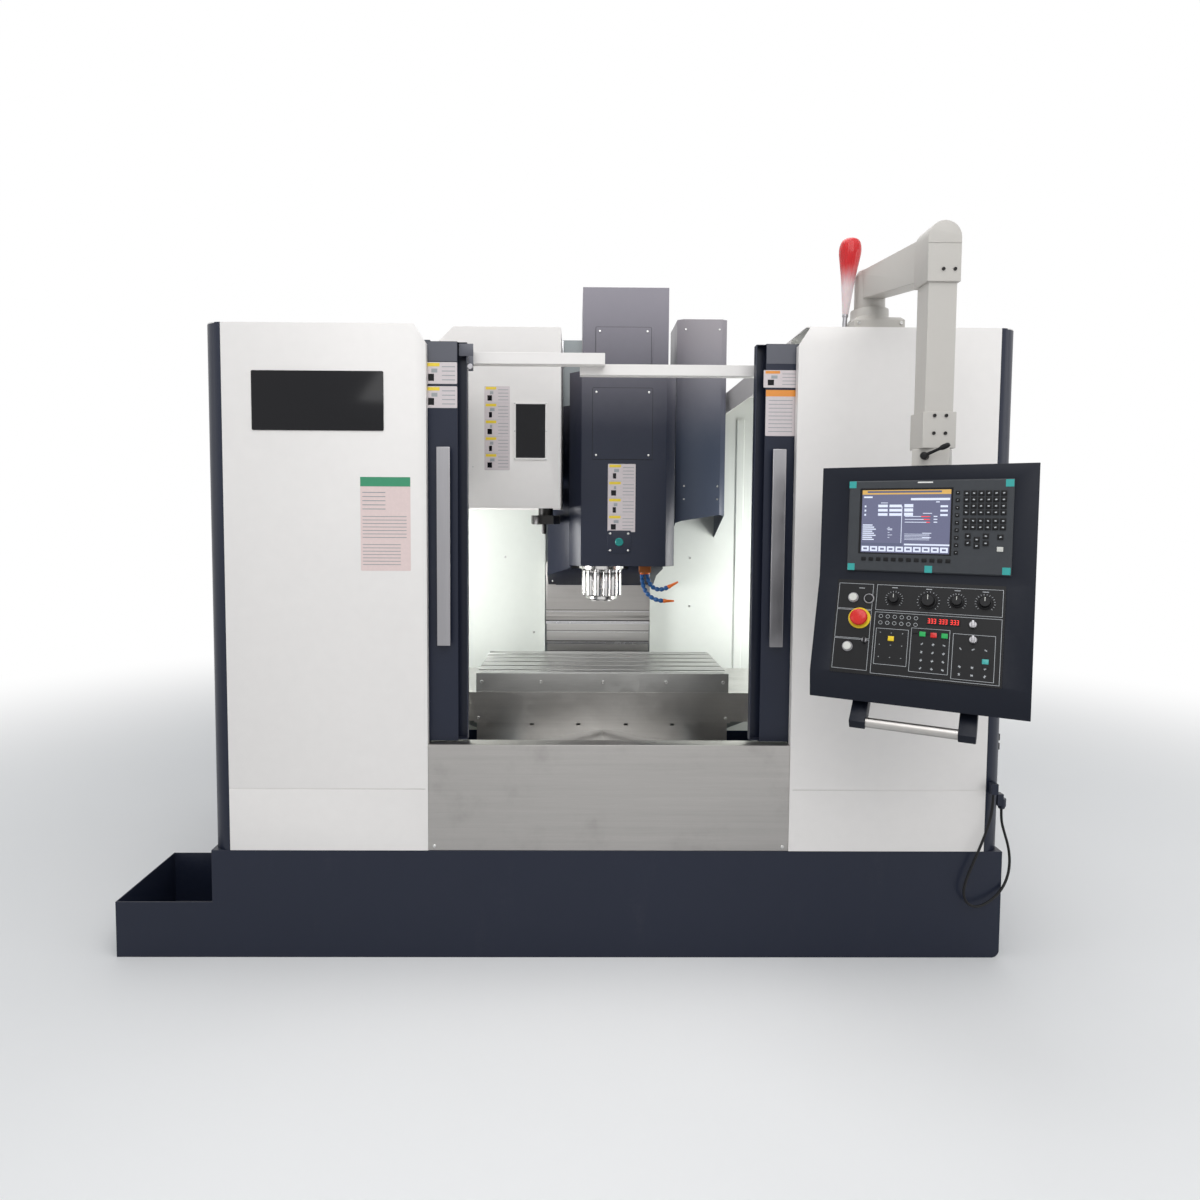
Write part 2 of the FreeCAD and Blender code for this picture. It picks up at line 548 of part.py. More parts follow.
def make_head_covers():
    shell = prism_z(strip(COVER_PLAN, SHEET, 1), COVER_BOTTOM, COVER_TOP)
    lid = cut(prism_z(COVER_PLAN, COVER_TOP - SHEET, COVER_TOP), box(-84, 244, -200, 226, 1900, 2000))
    floor = cut(prism_z(COVER_PLAN, COVER_BOTTOM, COVER_BOTTOM + SHEET),
                rod(106.0, V(0, 0, 1200), Z_AXIS, 40), box(-122, 140, 110, 226, 1200, 1240))
    posts = [box(x0, x1, 150, 190, 1300, 1340) for x0, x1 in ((-136 + SHEET, -125), (125, 282 - SHEET))]
    lower = fuse(shell, lid, floor, *posts)
    upper = prism_z(strip(MOTOR_PLAN, SHEET, 1), COVER_TOP, MOTOR_COVER_TOP)
    roof = prism_z(MOTOR_PLAN, MOTOR_COVER_TOP - SHEET, MOTOR_COVER_TOP)
    hatch = box(-24, 187, -206.5, -204, 1990, 2140)
    return lower, fuse(upper, roof, hatch)


def make_skirt(stage_bottom):
    plan = [(-136, 232), (-236, 330), (-236, 540)]
    left = prism_z(strip(plan, SHEET, 1), 1080, 1900)
    right = prism_z(strip([(262 + 20, 232), (262, 330), (262, 540)], SHEET, -1), 1080, 1900)
    slope = [(150, COVER_BOTTOM - 6), (468, 1080), (540, 1080), (540, 1000), (100, 1000),
             (100, COVER_BOTTOM - 6)]
    under = prism_x(slope, -400, 400)
    behind = box(-400, 400, Z_FRONT - 1, 600, 1000, 1195)
    left, right = cut(left, under, behind), cut(right, under, behind)
    plate = prism_x([(150, COVER_BOTTOM - 6), (468, 1080), (468, 1083), (150, COVER_BOTTOM - 3)], -236, 282)
    trim = prism_z([(-300, 100), (-136, 100), (-136, 232), (-236, 330), (-236, 600), (-300, 600)], 1000, 1300)
    trim_right = prism_z([(340, 100), (282, 100), (282, 232), (262, 330), (262, 600), (340, 600)], 1000, 1300)
    plate = cut(plate, trim, trim_right, box(-127, 127, 100, 240, 1000, 1300))
    stage = z_stage(0, stage_bottom)
    tie = box(-204, 204, 466, Z_FRONT + 0.5, 1078, 1088)
    seat = box(-204, 204, Z_FRONT, 512, HEAD_BOTTOM - 46, HEAD_BOTTOM - 40)
    side_seats = [box(-236 + SHEET - 0.5, -205, 460, 500, 1400, 1440),
                  box(205, 262 - SHEET + 0.5, 460, 500, 1400, 1440)]
    return fuse(left, right, plate, stage, tie, seat, *side_seats)


def make_coolant():
    """Two jointed coolant lines from a valve block: ball-shaped links that shrink to a nozzle."""
    lines = []
    block = box(146, 196, -136, -104, COVER_BOTTOM - VALVE_H, COVER_BOTTOM)
    for points in COOLANT_ROUTES:
        for k, (here, there) in enumerate(zip(points, points[1:])):
            a, b = V(*here), V(*there)
            length = a.distanceToPoint(b)
            profile = [(6, 0), (9.5, length * 0.5), (6, length + 2.5)]
            if k == len(points) - 2:
                profile = [(8, 0), (8, 10), (3.2, length)]
            lines.append(fluted(profile, 6, a, b - a))
    PARTS["coolant_nozzles"] = fuse(block, *lines)


VALVE_H = 34.0
COOLANT_ROUTES = (
    ((181, -118, 1180), (182, -121, 1161), (187, -124, 1143), (197, -128, 1128), (211, -132, 1118),
     (228, -136, 1114), (246, -140, 1117), (263, -144, 1125), (302, -150, 1147)),
    ((160, -122, 1180), (160, -124, 1160), (162, -127, 1140), (167, -130, 1121), (176, -133, 1104),
     (189, -137, 1089), (205, -141, 1078), (224, -145, 1072), (243, -148, 1070), (287, -150, 1070)),
)


# ---- tool changer ----------------------------------------------------------
DRUM_X = -428.0
DRUM_Z = 1739.0
POT_COUNT = 20
POT_CIRCLE = 245.0
DISC_R = 270.0
POT_R = 34.0
POT_SIDES = 6
POT_L = 105.0
PIVOT_X = -461.0             # pin of the pot that tilts down
PIVOT_Z = 1485.0
ARM_SHAFT_X = -235.0
SHAFT_R = 30.0
SLEEVE_R = 46.0
MAG_PLAN = [(-620, -380), (-167, -380), (-167, 205), (-256, 205), (-256, 370), (-620, 370)]
MAG_BOTTOM = 1436.0
MAG_TOP = 2095.0


def make_magazine():
    wall = 3.0
    outer = prism_z(MAG_PLAN, MAG_BOTTOM, MAG_TOP)
    inner = prism_z(inset(MAG_PLAN, wall), MAG_BOTTOM - 1, MAG_TOP - wall)
    corner = 62.0
    chamfer = prism_y([(-621, MAG_TOP - corner), (-621, MAG_TOP + 1), (-620 + corner, MAG_TOP + 1)], -381,
                      371)
    keep = prism_y([(-620, MAG_TOP - corner - 3), (-620, MAG_TOP), (-620 + corner + 3, MAG_TOP)], -381, 371)
    plate = prism_y(strip([(-620, MAG_TOP - corner), (-620 + corner, MAG_TOP)], wall, -1), -380, 370)
    window = box(-327, -227, -381, -376, 1624, 1812)
    arm_gate = box(-305, -200, 200, 374, 1512, 1708)
    shell = cut(outer, inner, chamfer, window, arm_gate)
    shell = fuse(shell, plate)
    pane = cut(box(-338, -216, -384, -380, 1613, 1823), box(-331, -223, -385, -381.5, 1620, 1816))
    PARTS["magazine_cover"] = Part.makeCompound([shell, pane])
    gearbox = box(-330, -170, -105, 105, 1480, 1830)
    sleeve_bore = rod(SLEEVE_R + RUN, V(ARM_SHAFT_X, 0, 1439), Z_AXIS, 270)
    collar = fluted([(62, 1440), (62, 1481)], 20, V(ARM_SHAFT_X, 0, 0), Z_AXIS)
    axis_foot = V(ARM_SHAFT_X, 0, 0)
    sleeve = fluted([(SLEEVE_R, 1440), (SLEEVE_R, 1700)], 24, axis_foot, Z_AXIS)
    sleeve_in = (SHAFT_R + RUN) / math.cos(math.pi / 24)
    PARTS["arm_sleeve"] = cut(sleeve, fluted([(sleeve_in, 1439), (sleeve_in, 1701)], 24, axis_foot, Z_AXIS))
    stub = fluted([(30, 0), (30, 112)], 16, V(-440, 0, DRUM_Z), X_AXIS)
    bracket = box(-300, -262, 100, 720, 1520, 1700)
    pad = box(-262, -COLUMN_HALF, 580, 700, 1530, 1690)
    lug = box(-620 + wall, -560, 300, 370 - wall, 1500, 1530)
    tie = box(-560, -300, 330, 367, 1500, 1520)
    rib = box(-300, -262, 320, 372 - 5, 1500, 1520)
    PARTS["tool_change_gearbox"] = fuse(cut(fuse(gearbox, collar), sleeve_bore), stub, bracket, pad,
                                        lug, tie, rib)
    disc = fluted([(DISC_R, 0), (DISC_R, 14), (52, 14), (52, 84)], 32, V(DRUM_X, 0, DRUM_Z), X_AXIS)
    pots = []
    for k in range(1, POT_COUNT):
        a = 2 * math.pi * k / POT_COUNT - math.pi / 2
        centre = V(DRUM_X, POT_CIRCLE * math.cos(a), DRUM_Z + POT_CIRCLE * math.sin(a))
        pots.append(pot(centre, a))
    notch = box(DRUM_X - 1, DRUM_X + 20, -37, 37, DRUM_Z - DISC_R - 10, DRUM_Z - POT_CIRCLE + 42)
    ears = [box(PIVOT_X - 10, DRUM_X + 14, y, y + 8, PIVOT_Z - 9, PIVOT_Z + 14) for y in (-42, 34)]
    drum = fuse(cut(disc, notch), *pots)
    drum = cut(drum, rod(30.0 + RUN, V(DRUM_X - 20, 0, DRUM_Z), X_AXIS, 140))
    pivot_bore = rod(5.0 + RUN, V(PIVOT_X, -50, PIVOT_Z), Y_AXIS, 100)
    webs = [box(DRUM_X, DRUM_X + 14, y, y + 12, PIVOT_Z - 9, PIVOT_Z + 14) for y in (-48, 36)]
    PARTS["magazine_drum"] = cut(fuse(drum, *ears, *webs), pivot_bore)
    tilting = pot(V(DRUM_X - 1, 0, DRUM_Z - POT_CIRCLE), -math.pi / 2)
    pins = [fluted([(5, 0), (5, 17)], 10, V(PIVOT_X, y, PIVOT_Z), Y_AXIS) for y in (-42, 25)]
    PARTS["change_pot"] = fuse(tilting, *pins)
    shaft = fluted([(SHAFT_R, 1400), (SHAFT_R, 1680)], 24, axis_foot, Z_AXIS)
    PARTS["change_arm"] = fuse(change_arm(), shaft)


def pot(centre, turn):
    """A tool pot with its open end to the left: flats outside and a socket inside."""
    corners = []
    for k in range(POT_SIDES):
        b = turn + 2 * math.pi * (k + 0.5) / POT_SIDES
        corners.append(V(0, POT_R * math.cos(b), POT_R * math.sin(b)))
    body = Part.Face(Part.makePolygon(corners + corners[:1])).extrude(V(-POT_L, 0, 0))
    hollow = Part.Face(Part.makePolygon([p * 0.68 for p in corners + corners[:1]])).extrude(V(-POT_L, 0, 0))
    hollow.translate(V(-30, 0, 0))
    body = body.cut(hollow)
    body.translate(centre)
    return body


def change_arm():
    """Two forks on a hub; at rest it is parked along Y under the magazine."""
    reach = 235.0
    z0, z1 = 1375.0, 1410.0
    hub = fluted([(60, z0), (60, z1)], 20, V(0, 0, 0), Z_AXIS)
    bar = prism_z([(-34, -reach + 40), (34, -reach + 40), (52, 0), (34, reach - 40), (-34, reach - 40),
                   (-52, 0)],
                  z0, z1)
    ends = [fluted([(44, z0), (44, z1)], 20, V(0, y, 0), Z_AXIS) for y in (-reach + 12, reach - 12)]
    mouths = [fluted([(32, z0 - 1), (32, z1 + 1)], 20, V(0, s * reach, 0), Z_AXIS) for s in (-1, 1)]
    ways = [box(-80, 0, s * reach - 32, s * reach + 32, z0 - 1, z1 + 1) if s > 0
            else box(0, 80, s * reach - 32, s * reach + 32, z0 - 1, z1 + 1) for s in (-1, 1)]
    finger = fluted([(7, z0 - 38), (9, z0 - 30), (9, z0 + 2)], 10, V(0, -reach + 62, 0), Z_AXIS)
    arm = fuse(cut(fuse(hub, bar, *ends), *mouths, *ways), finger)
    arm.translate(V(ARM_SHAFT_X, 0, 0))
    return arm


# ---- enclosure -------------------------------------------------------------
def make_enclosure():
    PARTS["side_shell_right"] = side_shell(595.0)
    PARTS["side_shell_left"] = mirror_x(side_shell(640.0))
    make_back()


def side_shell(inner_x):
    """The right side wall with its half of the roof, open over the work space."""
    t = SHEET
    side = box(HALF_WIDTH - t, HALF_WIDTH, FRONT + POST_R, WALL_Y + t, BASE_H, TOP - t)
    roof = box(inner_x, HALF_WIDTH, FRONT + t, WALL_Y + t, TOP - t, TOP)
    flange = box(inner_x, inner_x + t, -665, WALL_Y, TOP - 95, TOP - t)
    nose_clip = prism_z([(HALF_WIDTH + 1, FRONT), (HALF_WIDTH + 1, FRONT + POST_R),
                         (HALF_WIDTH, FRONT + POST_R)] +
                        [(HALF_WIDTH - POST_R + POST_R * math.cos(math.radians(a)),
                          FRONT + POST_R - POST_R * math.sin(math.radians(a))) for a in range(10, 91, 10)],
                        TOP - t - 1, TOP + 1)
    return cut(fuse(side, roof, flange), nose_clip)


def make_back():
    t = SHEET
    back = box(-HALF_WIDTH + t, HALF_WIDTH - t, WALL_Y, WALL_Y + t, BASE_H, TOP - t)
    slot = box(-258, 258, WALL_Y - 1, WALL_Y + t + 1, 650, TOP + 1)
    low = box(-440, 440, WALL_Y - 1, WALL_Y + t + 1, BASE_H - 1, 660)
    gate = box(-306, -250, WALL_Y - 1, WALL_Y + t + 1, 1512, 1708)
    strips = [prism_z([(x - 22, WALL_Y), (x - 16, WALL_Y - 9), (x + 16, WALL_Y - 9), (x + 22, WALL_Y)],
                      660, TOP - 110) for x in (-STRIP_X, STRIP_X)]
    ties = [box(x, x + 40, WALL_Y + t, COLUMN_FACE, 680, 740) for x in (-380, 340)]
    PARTS["back_wall"] = fuse(cut(back, slot, low, gate), *strips, *ties)
    duct = prism_z([(345, 300), (372, 285), (545, 285), (570, 300), (570, WALL_Y), (345, WALL_Y)], 1250, 2296)
    duct_in = prism_z([(348, 302), (373, 288), (544, 288), (567, 302), (567, WALL_Y + 1), (348, WALL_Y + 1)],
                      1200, 2293)
    slope = Part.makeBox(600, 900, 600, V(-300, -450, -600))
    slope.rotate(V(0, 0, 0), X_AXIS, -23)
    slope.rotate(V(0, 0, 0), Y_AXIS, -9)
    slope.translate(V(457, 285, 1404))
    PARTS["cable_duct"] = cut(duct, duct_in, slope)


def make_front():
    t = SHEET
    x0, x1 = OPENING_HALF, HALF_WIDTH - POST_R
    outline = [(x0, BASE_H), (x1, BASE_H), (x1, TOP), (x0 + 36, TOP), (x0, TOP - 57)]
    sheet = prism_y(outline, FRONT, FRONT + t)
    edge = box(x0, x0 + t, FRONT, FRONT + 27, BASE_H, TOP - 57)
    foot = box(x0, x1, FRONT, FRONT + 27, BASE_H, BASE_H + t)
    seam = box(x0 + 8, x1 + 1, FRONT - 1, FRONT + 1.2, SEAM_Z - 1.5, SEAM_Z + 1.5)
    panel = cut(fuse(sheet, edge, foot), seam)
    PARTS["front_panel_right"] = panel
    PARTS["front_panel_left"] = mirror_x(panel)
    centre = V(HALF_WIDTH - POST_R, FRONT + POST_R, BASE_H)
    quarter = Part.makeCylinder(POST_R, TOP - BASE_H, centre, Z_AXIS, 90)
    hollow = Part.makeCylinder(POST_R - t, TOP - BASE_H, centre, Z_AXIS, 90)
    quarter.rotate(centre, Z_AXIS, -90)
    hollow.rotate(centre, Z_AXIS, -90)
    bend = quarter.cut(hollow)
    front_tab = box(centre.x - 20, centre.x, FRONT + t, FRONT + 2 * t, BASE_H + 4, TOP)
    side_tab = box(HALF_WIDTH - 2 * t, HALF_WIDTH - t, centre.y, centre.y + 20, BASE_H, TOP - t)
    front_link = box(centre.x - 1, centre.x, FRONT + 0.5, FRONT + 2 * t, BASE_H + 4, TOP)
    side_link = box(HALF_WIDTH - 2 * t, HALF_WIDTH - 0.5, centre.y - 1, centre.y, BASE_H, TOP - t)
    front_link.translate(V(0.5, 0, 0))
    post = fuse(bend, front_tab, side_tab, front_link, side_link)
    post = cut(post, box(centre.x - 40, centre.x, FRONT - 1, FRONT + t, BASE_H - 1, TOP + 1),
               box(HALF_WIDTH - t, HALF_WIDTH + 1, centre.y, centre.y + 60, BASE_H - 1, TOP + 1),
               box(centre.x - 40, HALF_WIDTH + 1, FRONT + t, centre.y + 60, TOP - t, TOP + 1))
    PARTS["corner_posts"] = Part.makeCompound([post, mirror_x(post), *cable_fittings()])
    low = box(-OPENING_HALF, OPENING_HALF, FRONT + 2, FRONT + 2 + t, BASE_H, LOWER_TOP)
    top_fold = prism_x(strip([(FRONT + 2, LOWER_TOP), (-782, LOWER_TOP), (-770, LOWER_TOP - 12),
                              (-770, LOWER_TOP - 40)], t, -1), -OPENING_HALF, OPENING_HALF)
    PARTS["lower_front_panel"] = fuse(low, top_fold)
    left_rail = box(-HALF_WIDTH + t, LEFT_RAIL_END, RAIL_Y[0], RAIL_Y[1], LEFT_RAIL_TOP - 36, LEFT_RAIL_TOP)
    right_rail = box(RIGHT_RAIL_END, HALF_WIDTH - t, RAIL_Y[1], RAIL_Y[2], RIGHT_RAIL_TOP - 35,
                     RIGHT_RAIL_TOP)
    PARTS["top_rails"] = Part.makeCompound([left_rail, right_rail])


def make_door(side):
    """A door in the right-hand place: front sheet with folded edges, a window and two hangers."""
    t = SHEET
    x0, x1 = DOOR_EDGE, DOOR_EDGE + DOOR_W
    y0, y1 = DOOR_FRONT, DOOR_FRONT + DOOR_T
    outer = box(x0, x1, y0, y1, DOOR_BOTTOM, DOOR_TOP)
    inner = box(x0 + 118, x1 - t, y0 + t, y1 + 1, DOOR_BOTTOM + t, DOOR_TOP - t)
    stile_in = box(x0 + t, x0 + 118 - t, y0 + t, y1 - t, DOOR_BOTTOM + t, DOOR_TOP - t)
    step = box(x0 - 1, x0 + 28, y0 - 1, y0 + 12, DOOR_BOTTOM - 1, DOOR_TOP + 1)
    window = box(x0 + 190, x1 - 80, y0 - 1, y1 + 1, 1120, 1760)
    rail_y0, rail_y1, rail_z = (*RAIL_Y[:2], LEFT_RAIL_TOP) if side < 0 else (*RAIL_Y[1:], RIGHT_RAIL_TOP)
    hangers = []
    for x in (x0 + 150, x1 - 60):
        r = 13.0
        hangers.append(box(x - 30, x + 30, y1 - t, y1, rail_z - 60, max(rail_z + 2 * r + 9, DOOR_TOP)))
        hangers.append(box(x - 30, x + 30, y1 - t, rail_y1 - 4, rail_z + 2 * r + 4, rail_z + 2 * r + 9))
        wheel = fluted([(r, 0), (r, rail_y1 - rail_y0 - 16)], 12, V(x, rail_y0 + 8, rail_z + REST + r),
                       Y_AXIS)
        hangers.append(wheel)
        hangers.append(fluted([(5, 0), (5, rail_y1 - 8 - y1)], 6, V(x, y1 - 1, rail_z + REST + r), Y_AXIS))
    door = fuse(cut(outer, inner, stile_in, step, window), *hangers)
    glass = box(x0 + 176, x1 - 66, y0 + t, y0 + t + 6, 1106, 1774)
    bar = box(499, 540, y0 - 31, y0 - 22, 1001, 1618)
    feet = [box(508, 531, y0 - 22, y0, z, z + 34) for z in (1030, 1555)]
    handle = fuse(bar, *feet)
    return door, glass, handle


def make_doors():
    for side, name in ((-1, "left"), (1, "right")):
        pieces = make_door(side)
        if side < 0:
            pieces = [mirror_x(p) for p in pieces]
        for piece, kind in zip(pieces, ("door", "door_glass", "door_handle")):
            PARTS[name + "_" + kind] = piece


# ---- operator arm and panel -----------------------------------------------
YAW = math.radians(PANEL_YAW)
RIGHT = V(math.cos(YAW), -math.sin(YAW), 0)
UP = Z_AXIS
OUT = RIGHT.cross(UP)
POST = V(ARM_X, ARM_Y - ARM_REACH, 0)
FACE = POST + OUT * 38 - RIGHT * 12 + V(0, 0, PANEL_TOP)
PROFILE = [(0, 0), (14, -296), (100, -544), (95, -614), (-60, -578), (-105, -505), (-105, 0)]
KEY_UP = V(0, 248, -86).normalize()
SCREEN_UP = V(0, 296, -14).normalize()


def on_panel(shape):
    """From (right, up, out) about the top middle of the face to its place."""
    return placed(shape, FACE, RIGHT, UP)


def panel_vector(v):
    """A direction drawn in (right, up, out)."""
    return RIGHT * v.x + UP * v.y + OUT * v.z


KEY_TOP = V(0, -296, 14)
KEY_ORIGIN = FACE + panel_vector(KEY_TOP)
KEY_UP_WORLD = panel_vector(KEY_UP)
KEY_OUT_WORLD = RIGHT.cross(KEY_UP_WORLD)
SCREEN_UP_WORLD = panel_vector(SCREEN_UP)


def on_keys(shape):
    """From (right, up the face, out of the face) to the key face."""
    return placed(shape, KEY_ORIGIN, RIGHT, KEY_UP_WORLD)


def key_point(right, down, out=0.0):
    """A point of the key face, for joints."""
    return KEY_ORIGIN + RIGHT * right - KEY_UP_WORLD * down + KEY_OUT_WORLD * out


def on_screen(shape):
    """From (right, up the face, out of the face) to the screen face."""
    return placed(shape, FACE, RIGHT, SCREEN_UP_WORLD)


PLATE_T = 3.0
DIALS = {"feed_dial": (-60.0, 56.0, 16.0, 17.0), "hand_dial": (22.0, 57.0, 21.0, 20.0),
         "speed_dial": (88.0, 54.0, 16.0, 17.0), "mode_dial": (151.0, 53.0, 17.0, 17.0)}
STEM_R = 4.0
STOP_AT = (-142.0, 112.0)
STOP_R = 11.0
PAD = 13.0                   # keys of the screen unit
PAD_ROWS = (-80, -96, -112, -128, -149, -165)


def make_panel():
    half = PANEL_W / 2
    outer = prism([V(-half, b, c) for c, b in PROFILE], V(PANEL_W, 0, 0))
    inner_profile = inset(PROFILE, SHEET)
    inner = prism([V(-half + SHEET, b, c) for c, b in inner_profile], V(PANEL_W - 2 * SHEET, 0, 0))
    shell = on_panel(outer.cut(inner))
    shell = shell.cut([on_screen(box(-170, 190, -264, -52, -30, 30)),
                       on_keys(box(-195, 185, -250, -20, -30, 30))])
    PARTS["panel_housing"] = shell
    make_screen()
    make_key_panel()
    make_handle()


def make_screen():
    bezel = box(-184, 205, -278, -38, 0, 9)
    bezel = bezel.makeChamfer(3.0, [e for e in bezel.Edges if e.CenterOfMass.z > 8.9])
    screen = cut(bezel, box(-156, 70, -232, -58, 7, 10))
    soft_keys = [box(-147 + k * 18.6, -136 + k * 18.6, -250, -241, 8, 10.5) for k in range(12)]
    side_keys = [box(76, 85, -228 + k * 19.0, -219 + k * 19.0, 8, 10.5) for k in range(9)]
    pads = [box(94 + c * 16.5, 94 + PAD + c * 16.5, y, y + PAD, 8, 11) for y in PAD_ROWS for c in range(6)]
    arrows = [box(x, x + PAD, y, y + 11, 8, 11) for x, y in
              ((100, -186), (120, -195), (140, -186), (120, -211), (100, -204), (140, -204), (172, -188),
               (172, -218))]
    PARTS["screen_unit"] = on_screen(fuse(screen, *soft_keys, *side_keys, *pads, *arrows))


def make_key_panel():
    plate = box(-205, 195, -260, -8, 0, PLATE_T)
    keys = [box(x - 7, x + 7, y - 6, y + 6, PLATE_T - 1, PLATE_T + 3)
            for x, y in ((-65, -154), (-4, -136), (20, -137), (43, -138), (160, -209))]
    caps = [fluted([(11, PLATE_T - 1), (11, PLATE_T + 5)], 10, V(x, y, 0), Z_AXIS)
            for x, y in ((-162, -57), (-122, -58), (-166, -190))]
    switch = fuse(fluted([(7, PLATE_T - 1), (7, PLATE_T + 4)], 10, V(-125, -170, 0), Z_AXIS),
                  box(-127, -123, -178, -162, PLATE_T, 12))
    selectors = [fuse(fluted([(9, PLATE_T - 1), (9, PLATE_T + 5)], 8, V(x, y, 0), Z_AXIS),
                      box(x - 2.5, x + 2.5, y - 9, y + 9, 7, 15)) for x, y in ((127, -110), (129, -148))]
    displays = [box(22 + k * 26.0, 46 + k * 26.0, -116, -100, PLATE_T - 1, PLATE_T + 1.5) for k in range(3)]
    body = fuse(plate, *keys, *caps, switch, *selectors, *displays)
    holes = [rod(STEM_R + RUN, V(x, -y, -1), Z_AXIS, 8) for x, y, r, h in DIALS.values()]
    sx, sy = STOP_AT
    stop_hole = (STOP_R + RUN) / math.cos(math.pi / 16)
    holes.append(fluted([(stop_hole, -1), (stop_hole, 7)], 16, V(sx, -sy, 0), Z_AXIS))
    PARTS["key_panel"] = on_keys(cut(body, *holes))
    base = PLATE_T + REST
    for name, (x, y, r, h) in DIALS.items():
        centre = V(x, -y, 0)
        stem = fluted([(STEM_R, -6), (STEM_R, 6)], 8, centre, Z_AXIS)
        skirt = fluted([(r, base), (r, base + 3.5)], 16, centre, Z_AXIS)
        grip = fluted([(r * 0.82, base + 3.5), (r * 0.7, base + h)], 12, centre, Z_AXIS)
        mark = box(x - 1, x + 1, -y, -y + r * 0.65, PLATE_T + h - 2, PLATE_T + h + 0.8)
        PARTS[name] = on_keys(fuse(stem, skirt, grip, mark))
    stem = fluted([(STOP_R, -8), (STOP_R, PLATE_T + 9)], 16, V(sx, -sy, 0), Z_AXIS)
    cap = fluted([(19, PLATE_T + 8), (22, PLATE_T + 10), (22, PLATE_T + 16), (17, PLATE_T + 21)], 18,
                 V(sx, -sy, 0), Z_AXIS)
    PARTS["emergency_stop"] = on_keys(fuse(stem, cap))


def underside(out):
    """Height of the housing's sloping floor below the top of the face."""
    (x0, z0), (x1, z1) = PROFILE[3], PROFILE[4]
    return z0 + (z1 - z0) * (out - x0) / (x1 - x0)


def make_handle():
    grip = fluted([(13, 0), (13, 280)], 16, V(-140, -668, 92), X_AXIS)
    outline = [(-8, underside(-8)), (44, underside(44)), (112, -664), (104, -684), (70, -676)]
    arms = [prism([V(x, b, c) for c, b in outline], V(40, 0, 0)) for x in (-152, 105)]
    PARTS["panel_handle"] = on_panel(fuse(grip, *arms))


PLINTH_H = 39.0
RING_TOP = 74.0
STUB_R = 25.0


def make_arm():
    plinth = box(ARM_X - 72, ARM_X + 84, ARM_Y - 74, ARM_Y + 74, TOP, TOP + PLINTH_H)
    plinth = plinth.makeChamfer(10.0, [e for e in plinth.Edges if e.CenterOfMass.z > TOP + PLINTH_H - 0.1])
    ring_base = fluted([(66, PLINTH_H), (58, PLINTH_H + 10), (58, RING_TOP), (30, RING_TOP),
                        (30, RING_TOP + 36)], 20,
                       V(ARM_X, ARM_Y, TOP), Z_AXIS)
    PARTS["arm_base"] = fuse(plinth, ring_base)
    z0 = TOP + RING_TOP + REST
    swivel = fluted([(47, z0), (47, z0 + 106), (36, z0 + 124)], 24, V(ARM_X, ARM_Y, 0), Z_AXIS)
    socket = rod(30.0 + RUN, V(ARM_X, ARM_Y, z0 - 1), Z_AXIS, 38)
    reach = -ARM_REACH
    side = [(0, z0 + 36), (reach + 30, TOP + 36), (reach + 30, TOP + 145), (0, z0 + 122)]
    beam = prism_x([(ARM_Y + y, z) for y, z in side], ARM_X - 34, ARM_X + 34)
    elbow_y = ARM_Y + reach
    elbow = fuse(box(ARM_X - 43, ARM_X + 43, elbow_y - 38, elbow_y + 42, TOP + 17, TOP + 127),
                 fluted([(43, 0), (43, 80)], 24, V(ARM_X, elbow_y - 38, TOP + 127), Y_AXIS))
    tube = box(ARM_X - 37, ARM_X + 37, elbow_y - 32, elbow_y + 32, SLEEVE_TOP - 10, TOP + 20)
    sleeve = box(ARM_X - 43, ARM_X + 43, elbow_y - 38, elbow_y + 38, SLEEVE_BOTTOM, SLEEVE_TOP)
    stub = rod(STUB_R, V(ARM_X, elbow_y, PANEL_TOP + 6), Z_AXIS, SLEEVE_BOTTOM - PANEL_TOP)
    PARTS["swing_arm"] = cut(fuse(swivel, beam, elbow, tube, sleeve, stub), socket)
    stub_room = (STUB_R + RUN) / math.cos(math.pi / 24)
    swivel_box = cut(box(ARM_X - 44, ARM_X + 44, elbow_y - 38, elbow_y + 38, PANEL_TOP, SLEEVE_BOTTOM - REST),
                     fluted([(stub_room, PANEL_TOP + 5), (stub_room, SLEEVE_BOTTOM)], 24,
                            V(ARM_X, elbow_y, 0), Z_AXIS),
                     rod(6.0 + RUN, V(ARM_X + LEVER_X, elbow_y - 39, LEVER_Z), Y_AXIS, 18))
    swivel_box.rotate(V(ARM_X, elbow_y, 0), Z_AXIS, -PANEL_YAW)
    PARTS["panel_swivel"] = swivel_box
    pivot = V(ARM_X + LEVER_X, elbow_y, LEVER_Z)
    lever = fuse(fluted([(6, 0), (6, 32)], 12, pivot - V(0, 58, 0), Y_AXIS),
                 fluted([(10, 0), (10, 27.5)], 12, pivot - V(0, 66, 0), Y_AXIS),
                 fluted([(4.5, 0), (4, 40), (7, 46), (7, 62), (4, 66)], 8, pivot - V(0, 62, 0),
                        V(0.9, -0.2, 0.38)))
    lever.rotate(V(ARM_X, elbow_y, 0), Z_AXIS, -PANEL_YAW)
    PARTS["clamp_lever"] = lever
    lamp = fluted([(7, 0), (7, 60), (10, 70), (14, 110), (22, 180), (31, 236), (34, 262), (31, 286),
                   (20, 300)],
                  12, V(0, 0, 0), Z_AXIS)
    lamp.rotate(V(0, 0, 0), Y_AXIS, 3.0)
    lamp.translate(V(ARM_X - 84, ARM_Y - 12, TOP - 6))
    PARTS["signal_lamp"] = cut(lamp, box(ARM_X - 200, ARM_X, ARM_Y - 60, ARM_Y + 60, TOP - 30, TOP))


# ---- cabinet and cable -----------------------------------------------------
CAB_HALF = 560.0
CAB_FRONT = 1226.0
CAB_BACK = 1566.0
CAB_BOTTOM = 520.0
CAB_TOP = 2060.0
HINGE_Z = (720.0, 1780.0)
HINGE_L = 40.0


